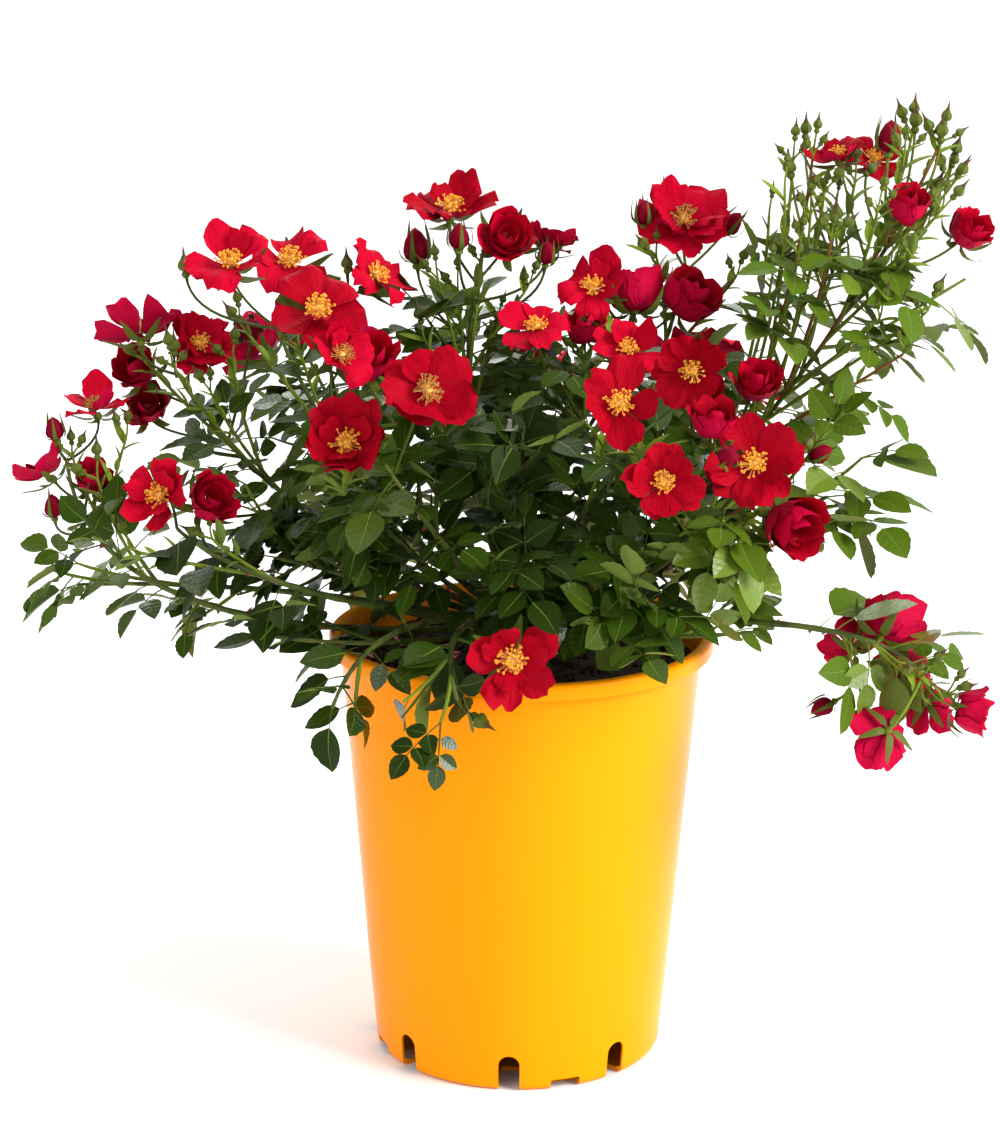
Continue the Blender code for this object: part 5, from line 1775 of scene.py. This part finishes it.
def stamen_ring(name, grain_finish):
    """A ring of threads with their grains, round a knob."""
    rng = random.Random(name)
    bm = bmesh.new()
    for index in range(STAMEN_COUNT):
        lean = math.radians(rng.uniform(*STAMEN_LEANS))
        length = rng.uniform(*THREAD_LENGTHS)
        place = (
            Matrix.Rotation(index * GOLDEN_ANGLE, 4, "Z") @ Matrix.Translation(THREAD_FOOT)
            @ Matrix.Rotation(lean, 4, "Y")
        )
        thread = bmesh.new()
        bmesh.ops.create_cone(
            thread, cap_ends=True, segments=3, depth=length,
            radius1=THREAD_RADII[0], radius2=THREAD_RADII[1],
            matrix=place @ Matrix.Translation((0.0, 0.0, length / 2)),
        )
        pour(bm, thread, THREAD_FINISH)
        end = place @ Matrix.Translation((0.0, 0.0, length))
        turned = end @ Matrix.Rotation(rng.uniform(0, 3), 4, "Z")
        grain = bmesh.new()
        bmesh.ops.create_cube(grain, size=1.0, matrix=turned @ Matrix.Diagonal((*GRAIN_SIZE, 1.0)))
        pour(bm, grain, grain_finish)
    knob = bmesh.new()
    bmesh.ops.create_uvsphere(
        knob, u_segments=8, v_segments=5, radius=1.0,
        matrix=Matrix.Translation((0.0, 0.0, KNOB_HEIGHT)) @ Matrix.Diagonal((*KNOB_SIZE, 1.0)),
    )
    pour(bm, knob, THREAD_FINISH)
    return as_template(bm, name)


stamen_rings = [stamen_ring(f"stamens_{number}", GRAIN_FINISH) for number in range(3)]
stamen_rings.append(stamen_ring("stamens_old", OLD_GRAIN_FINISH))
print("faces in a stamen ring:", len(stamen_rings[0].polygons))

# %% [markdown]
# ## Hips, sepals and buds
#
# Behind each bloom is a green hip with five long pointed sepals. On a large bud they clasp the
# furled petals. A small bud is still shut: its sepals meet in a green drop on the hip, drawn
# out to a wispy brown tip. Hips and buds are spun from a few points, and a sepal is a narrow
# sheet bent along a line like a petal's.

# %% Hip, sepal and bud shapes
HIP_FINISH, SEPAL_FINISH, BUD_FINISH, TIP_FINISH = range(4)
SEPAL_TIP_WIDTH = 0.02
SEPAL_THICKNESS = 0.02

# The sepal's middle line, then its half width, as shares of half the bloom's width.
SEPAL_FORMS = {
    "open": ([(0.10, -0.34), (0.40, -0.44), (0.66, -0.16), (0.88, -0.10)], 0.15),
    "cup": ([(0.14, -0.56), (0.70, -0.92), (1.12, -0.48), (1.28, -0.02)], 0.22),
    "bud": ([(0.30, -0.75), (1.65, -0.50), (1.25, 0.70), (0.90, 2.20)], 0.36),
}

# Where the hip ends along the bloom's axis, as shares of half the bloom's width.
HIP_TOPS = {"open": -0.30, "cup": -0.48, "bud": -0.62}
HIP_BOTTOMS = {"open": -0.42, "cup": -0.62, "bud": -1.20}

# Radius and height of each point, from the stalk to the tip.
HIP_PROFILE = [
    (0.0, -1.0), (0.36, -0.96), (0.80, -0.55), (0.95, 0.0), (0.70, 0.55), (0.62, 0.7), (0.0, 0.75),
]
BUD_PROFILE = [
    (0.0, -0.65), (0.45, -0.6), (0.86, -0.25), (0.98, 0.2), (0.84, 0.8), (0.50, 1.4), (0.0, 1.85),
]
SHUT_BUD_PROFILE = [
    (0.0, -1.95), (0.34, -1.9), (0.66, -1.5), (0.62, -1.1), (0.42, -0.85), (0.84, -0.5), (1.0, 0.0),
    (0.86, 0.55), (0.50, 1.1), (0.22, 1.7), (0.12, 2.5), (0.0, 3.3),
]
HIP_STEPS = 8

# A shut bud is ribbed by its five sepals above its hip, and its tip is brown.
SHUT_BUD_STEPS = 10
SEPAL_COUNT = 5
SEPAL_RIDGE = 0.13
RIDGES_FROM = -0.7
TIP_FROM = 1.4


def sepal_shape(form):
    """A narrow pointed sheet beside the Z axis, its middle line over +Y."""
    line, half_width = SEPAL_FORMS[form]
    bm = bmesh.new()
    bmesh.ops.create_grid(bm, x_segments=2, y_segments=6, size=0.5)
    for vertex in bm.verts:
        side, out = 2 * vertex.co.x, vertex.co.y + 0.5
        radius, height = along_line(line, out)
        width = half_width * (1 - out) ** 0.9 * (1 - (1 - out) ** 6) + SEPAL_TIP_WIDTH
        angle = side * width / max(radius, width)
        vertex.co = (radius * math.sin(angle), radius * math.cos(angle), height)
    close_underneath(bm, SEPAL_THICKNESS, SEPAL_FINISH)
    coat(bm, SEPAL_FINISH)
    return as_template(bm, "sepal_" + form)


def spun_shape(name, profile, finish):
    """A hip or a bud, spun from its profile."""
    bm = spin_profile(profile, HIP_STEPS)
    coat(bm, finish)
    return as_template(bm, name)


def shut_bud():
    """A ribbed green drop on a hip, with a brown tip."""
    bm = spin_profile(SHUT_BUD_PROFILE, SHUT_BUD_STEPS)
    for vertex in bm.verts:
        if vertex.co.z > RIDGES_FROM:
            turn = math.atan2(vertex.co.y, vertex.co.x)
            vertex.co.xy *= 1 + SEPAL_RIDGE * math.cos(SEPAL_COUNT * turn)
    for face in bm.faces:
        is_tip = face.calc_center_median().z > TIP_FROM
        face.material_index = TIP_FINISH if is_tip else SEPAL_FINISH
    return as_template(bm, "shut_bud")


sepal_shapes = {form: sepal_shape(form) for form in SEPAL_FORMS}
hip_shape = spun_shape("hip", HIP_PROFILE, HIP_FINISH)
bud_shape = spun_shape("bud", BUD_PROFILE, BUD_FINISH)
shut_bud_shape = shut_bud()
print("faces in a shut bud:", len(shut_bud_shape.polygons))

# %% [markdown]
# ## Set the flowers
#
# Each flower of the table gets its stalk, hip, sepals and petals. The stalk leaves the stem where
# it is shortest without turning back, and arrives at the hip from behind, as in the solids.

# %% Flower stalks
STALK_STRAIGHT = 0.45
STEM_TAKEOFFS = 10
FIRST_TAKEOFF = 2
SHARP_TURN = 0.75
SHARP_TURN_COST = 1.5


def stalk_cost(arch, share, hip):
    """Length of a stalk that leaves the stem here, and more where it would turn sharply."""
    way = hip - arch.point(share)
    straightness = way.normalized().dot(arch.heading(share))
    return way.length * (1.0 + SHARP_TURN_COST * max(0.0, SHARP_TURN - straightness))


def stalk_curve(arch, flower):
    """Start, bend and end of a flower's stalk."""
    place = flower_frame(flower)
    facing = place.to_3x3() @ UP
    hip = place.translation + facing * (HIP_BOTTOMS[flower.form] * flower.width / 2 * MM)
    takeoffs = range(FIRST_TAKEOFF, STEM_TAKEOFFS + 1)
    choices = [arch.stem_share(step / STEM_TAKEOFFS) for step in takeoffs]
    start = arch.point(min(choices, key=lambda share: stalk_cost(arch, share, hip)))
    return start, hip - facing * (STALK_STRAIGHT * (hip - start).length), hip


# %% Petals, stamens, hips and buds in place
STALK_RADIUS = 0.85 * MM
STALK_STEPS = 10
STALK_SIDES = 6
STALK_TAPER, STALK_KNEE = 0.8, 1.3
PETALS_PER_ROUND = 5
PETAL_SLIMNESS = (0.76, 1.04)
PETAL_SWAY = 0.18
PETAL_TILTS = (-0.22, 0.28)
PETAL_SIZES = (0.87, 1.08)

# The kinds that an open bloom's outer petals are dealt from.
OPEN_KINDS = (
    ("flat", "raised"), ("flat", "flat", "folded_back"), ("flat", "folded_back", "raised"),
)

# A cup's three rounds: the kind of petal, how many there are, and their turn in radians.
CUP_ROUNDS = (("cup_outer", PETALS_PER_ROUND, 0.0), ("cup_inner", 4, 0.6), ("cup_heart", 3, 0.2))

# How often a bloom is deep red, has a second round of petals and has old stamens.
DEEP_CHANCE, SECOND_ROUND_CHANCE, OLD_CHANCE = 0.35, 0.3, 0.25
SECOND_ROUND, SECOND_TURN = 4, 0.6
INNER_COUNTS, INNER_TURN = (0, 1, 3), 0.3

HIP_WIDTH, HIP_LEAST_HEIGHT = 2.5 * MM, 2.6 * MM
BUD_HIP_WIDTH = 0.42
HIP_SETTING = 0.9
SEPAL_SWAY = 0.08
SEPAL_SIZES = (0.94, 1.08)

# Table buds under this width, in millimetres, are still shut. The buds of the side shoots are
# shut too: half widths in millimetres, stalk, the fan's degrees, and how far above it a bud sits.
SHUT_BUD_WIDTH = 9.5
SHUT_BUD_SHARE = 0.85
SIDE_BUD_SIZES = (1.8, 3.0)
SIDE_BUD_STALK = 9 * MM
SIDE_STALK_LENGTHS = (0.7, 1.3)
SIDE_STALK_RADII = (0.62 * MM, 0.52 * MM)
SIDE_STALK_STEPS = 4
FIRST_LEAN, OTHER_LEAN = (8, 16), (22, 48)
OTHER_LENGTH = 0.8
FAN_RISE = 1.2
SHUT_BUD_FOOT = 1.9

petals_bm = sheet_bmesh()
stamens_bm = bmesh.new()
hips_bm = bmesh.new()
stalks_bm = bmesh.new()


def add_round(rng, place, kinds, count, finish, start, slim=1.0):
    """One ring of petals round the bloom's axis; slim makes them narrower than their shape."""
    for index in range(count):
        turn = start + index * math.tau / count + rng.uniform(-PETAL_SWAY, PETAL_SWAY)
        tilt = Matrix.Rotation(rng.uniform(*PETAL_TILTS), 4, "X")
        size = rng.uniform(*PETAL_SIZES)
        sized = Matrix.Diagonal((slim * size, size, size, 1.0))
        shape = rng.choice(petal_shapes[rng.choice(kinds)])
        stamp(petals_bm, shape, place @ Matrix.Rotation(turn, 4, "Z") @ tilt @ sized, finish)


def add_petals(rng, flower, place):
    """The rounds of petals of a cup or of an open bloom."""
    finish = DEEP_FINISH if rng.random() < DEEP_CHANCE else BRIGHT_FINISH
    start = rng.uniform(0, math.tau)
    if flower.form == "cup":
        for kind, count, turn in CUP_ROUNDS:
            add_round(rng, place, (kind,), count, finish, start + turn)
        return
    kinds, slim = rng.choice(OPEN_KINDS), rng.uniform(*PETAL_SLIMNESS)
    add_round(rng, place, kinds, PETALS_PER_ROUND, finish, start, slim)
    if rng.random() < SECOND_ROUND_CHANCE:
        add_round(rng, place, OPEN_KINDS[0], SECOND_ROUND, finish, start + SECOND_TURN)
    add_round(rng, place, ("inner",), rng.choice(INNER_COUNTS), finish, start + INNER_TURN)


def add_calyx(rng, place, form, half, width, tall):
    """The hip and its five sepals; width and tall are the hip's half sizes."""
    spot = Matrix.Translation((0.0, 0.0, HIP_BOTTOMS[form] * half + tall * HIP_SETTING))
    stamp(hips_bm, hip_shape, place @ spot @ Matrix.Diagonal((width, width, tall, 1.0)), HIP_FINISH)
    start = rng.uniform(0, math.tau)
    for index in range(SEPAL_COUNT):
        turn = start + index * math.tau / SEPAL_COUNT + rng.uniform(-SEPAL_SWAY, SEPAL_SWAY)
        size = Matrix.Scale(half * rng.uniform(*SEPAL_SIZES), 4)
        stamp(hips_bm, sepal_shapes[form], place @ Matrix.Rotation(turn, 4, "Z") @ size, SEPAL_FINISH)


def add_flower(rng, flower, place):
    """A flower of the table: a shut bud, a large bud, a cup or an open bloom."""
    half = flower.width / 2 * MM
    if flower.form == "bud" and flower.width < SHUT_BUD_WIDTH:
        stamp(hips_bm, shut_bud_shape, place @ Matrix.Scale(SHUT_BUD_SHARE * half, 4), SEPAL_FINISH)
        return
    tall = (HIP_TOPS[flower.form] * half - HIP_BOTTOMS[flower.form] * half) / 2
    sized = place @ Matrix.Scale(half, 4)
    if flower.form == "bud":
        add_calyx(rng, place, "bud", half, BUD_HIP_WIDTH * half, tall)
        stamp(hips_bm, bud_shape, sized, BUD_FINISH)
        return
    add_calyx(rng, place, flower.form, half, HIP_WIDTH, max(tall, HIP_LEAST_HEIGHT))
    add_petals(rng, flower, sized)
    if flower.form == "open":
        ring = stamen_rings[-1] if rng.random() < OLD_CHANCE else rng.choice(stamen_rings[:-1])
        stamp(stamens_bm, ring, sized @ Matrix.Rotation(rng.uniform(0, 6), 4, "Z"))


def add_side_buds(rng, line, count):
    """A fan of small buds on short stalks at a side shoot's tip."""
    tip, heading = line[2], curve_heading(*line, 1.0)
    upward = (heading + UP * FAN_RISE).normalized()
    for index in range(count):
        lean = math.radians(rng.uniform(*(OTHER_LEAN if index else FIRST_LEAN)))
        facing = lean_out(upward, index * GOLDEN_ANGLE + rng.random(), lean)
        length = SIDE_BUD_STALK * rng.uniform(*SIDE_STALK_LENGTHS) * (OTHER_LENGTH if index else 1.0)
        half = rng.uniform(*SIDE_BUD_SIZES) * MM
        end = tip + facing * length
        bend = tip + heading * 0.4 * length
        frames = curve_frames(tip, bend, end, 0.0, 1.0, SIDE_STALK_STEPS)
        pour(stalks_bm, sweep(frames, taper(*SIDE_STALK_RADII, SIDE_STALK_STEPS), 5), GREEN_BARK)
        spot = end + facing * (SHUT_BUD_FOOT * half)
        place = Matrix.LocRotScale(spot, facing.to_track_quat("Z", "Y"), None)
        stamp(hips_bm, shut_bud_shape, place @ Matrix.Scale(half, 4), SEPAL_FINISH)


for arch in arches:
    bark = GREEN_BARK if tone_of(arch.name) == "fresh" else DARK_BARK
    for index, flower in enumerate(FLOWERS.get(arch.name, [])):
        radii = taper(STALK_RADIUS, STALK_TAPER * STALK_RADIUS, STALK_STEPS - 1)
        radii.append(STALK_KNEE * STALK_RADIUS)
        frames = curve_frames(*stalk_curve(arch, flower), 0.0, 1.0, STALK_STEPS)
        pour(stalks_bm, sweep(frames, radii, STALK_SIDES), bark)
        rng = random.Random(f"{arch.name} flower {index}")
        add_flower(rng, flower, flower_frame(flower))
    for index, (shoot, line) in enumerate(side_shoots[arch.name]):
        add_side_buds(random.Random(f"{arch.name} side buds {index}"), line, shoot.buds)
make_piece(
    "petals", petals_bm, [petal_bright, petal_back, petal_claw, petal_deep],
    corner=70,
)
make_piece("stamens", stamens_bm, [filament_gold, anther_gold, anther_old])
make_piece(
    "hips_and_buds", hips_bm, [hip_green, sepal_green, bud_crimson, sepal_tip],
    corner=60,
)
make_piece("flower_stalks", stalks_bm, [stalk_green, stalk_dark], corner=60)

# %% [markdown]
# ## Camera, floor and light
#
# The camera stands a metre and a half in front, a little above the plant, with a long lens. The
# floor is a large pale sheet. Light is soft: a bright key from the right, a weaker fill from the
# left, an even pale sky, and a wide lamp that keeps the floor behind as bright as in front.

# %% Camera
CAMERA_PLACE = Vector((0.0, -1.4586, 0.6493))
CAMERA_PITCH = 0.2621
CAMERA_YAW = 0.0077
CAMERA_ROLL = 0.007
CAMERA_LENS = 92.1
camera_data = bpy.data.cameras.new("view")
camera_data.lens = CAMERA_LENS
camera_data.sensor_width = 36.0
camera = add_object("view", camera_data)
camera.matrix_world = (
    Matrix.Translation(CAMERA_PLACE) @ Matrix.Rotation(CAMERA_YAW, 4, "Z")
    @ Matrix.Rotation(math.pi / 2 - CAMERA_PITCH, 4, "X") @ Matrix.Rotation(CAMERA_ROLL, 4, "Z")
)
bpy.context.scene.camera = camera

# %% Floor
FLOOR_SIZE = 24.0
floor_bm = bmesh.new()
bmesh.ops.create_grid(floor_bm, x_segments=1, y_segments=1, size=FLOOR_SIZE / 2)
floor_mesh = as_template(floor_bm, "floor")
floor_paper = finish_material("floor_paper", (0.95, 0.95, 0.95), 0.9)
floor_mesh.materials.append(floor_paper)
floor = add_object("floor", floor_mesh)
floor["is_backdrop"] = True

# %% Lights
SKY_STRENGTH = 0.72


def soft_light(name, place, aim, size, power):
    """A square lamp that looks at a point."""
    data = bpy.data.lights.new(name, "AREA")
    data.size = size
    data.energy = power
    light = add_object(name, data)
    light.location = place
    light.rotation_mode = "QUATERNION"
    light.rotation_quaternion = (Vector(aim) - Vector(place)).to_track_quat("-Z", "Y")


PLANT_MIDDLE = (0.0, 0.0, 0.28)
soft_light("key_light", (2.2, -1.1, 1.7), PLANT_MIDDLE, 1.4, 105)
soft_light("fill_light", (-1.6, -1.9, 1.3), PLANT_MIDDLE, 1.6, 14)
soft_light("back_light", (-0.4, 1.9, 1.7), PLANT_MIDDLE, 1.4, 20)
soft_light("floor_light", (0.0, 6.5, 4.5), (0.0, 6.5, 0.0), 8.0, 260)
sky = bpy.data.worlds.new("sky")
sky.use_nodes = True
sky.node_tree.nodes["Background"].inputs["Color"].default_value = (1.0, 1.0, 1.0, 1.0)
sky.node_tree.nodes["Background"].inputs["Strength"].default_value = SKY_STRENGTH
bpy.context.scene.world = sky
bpy.context.scene.view_settings.view_transform = "Standard"

# %% [markdown]
# ## The size
#
# The finished plant has to keep the solids' size, so both boxes are printed.

# %% Print the boxes
dressed_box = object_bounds()
boxes = {"solids": [list(c) for c in solid_box], "dressed": [list(c) for c in dressed_box]}
for name, box in boxes.items():
    print(name, [[round(v, 4) for v in corner] for corner in box])
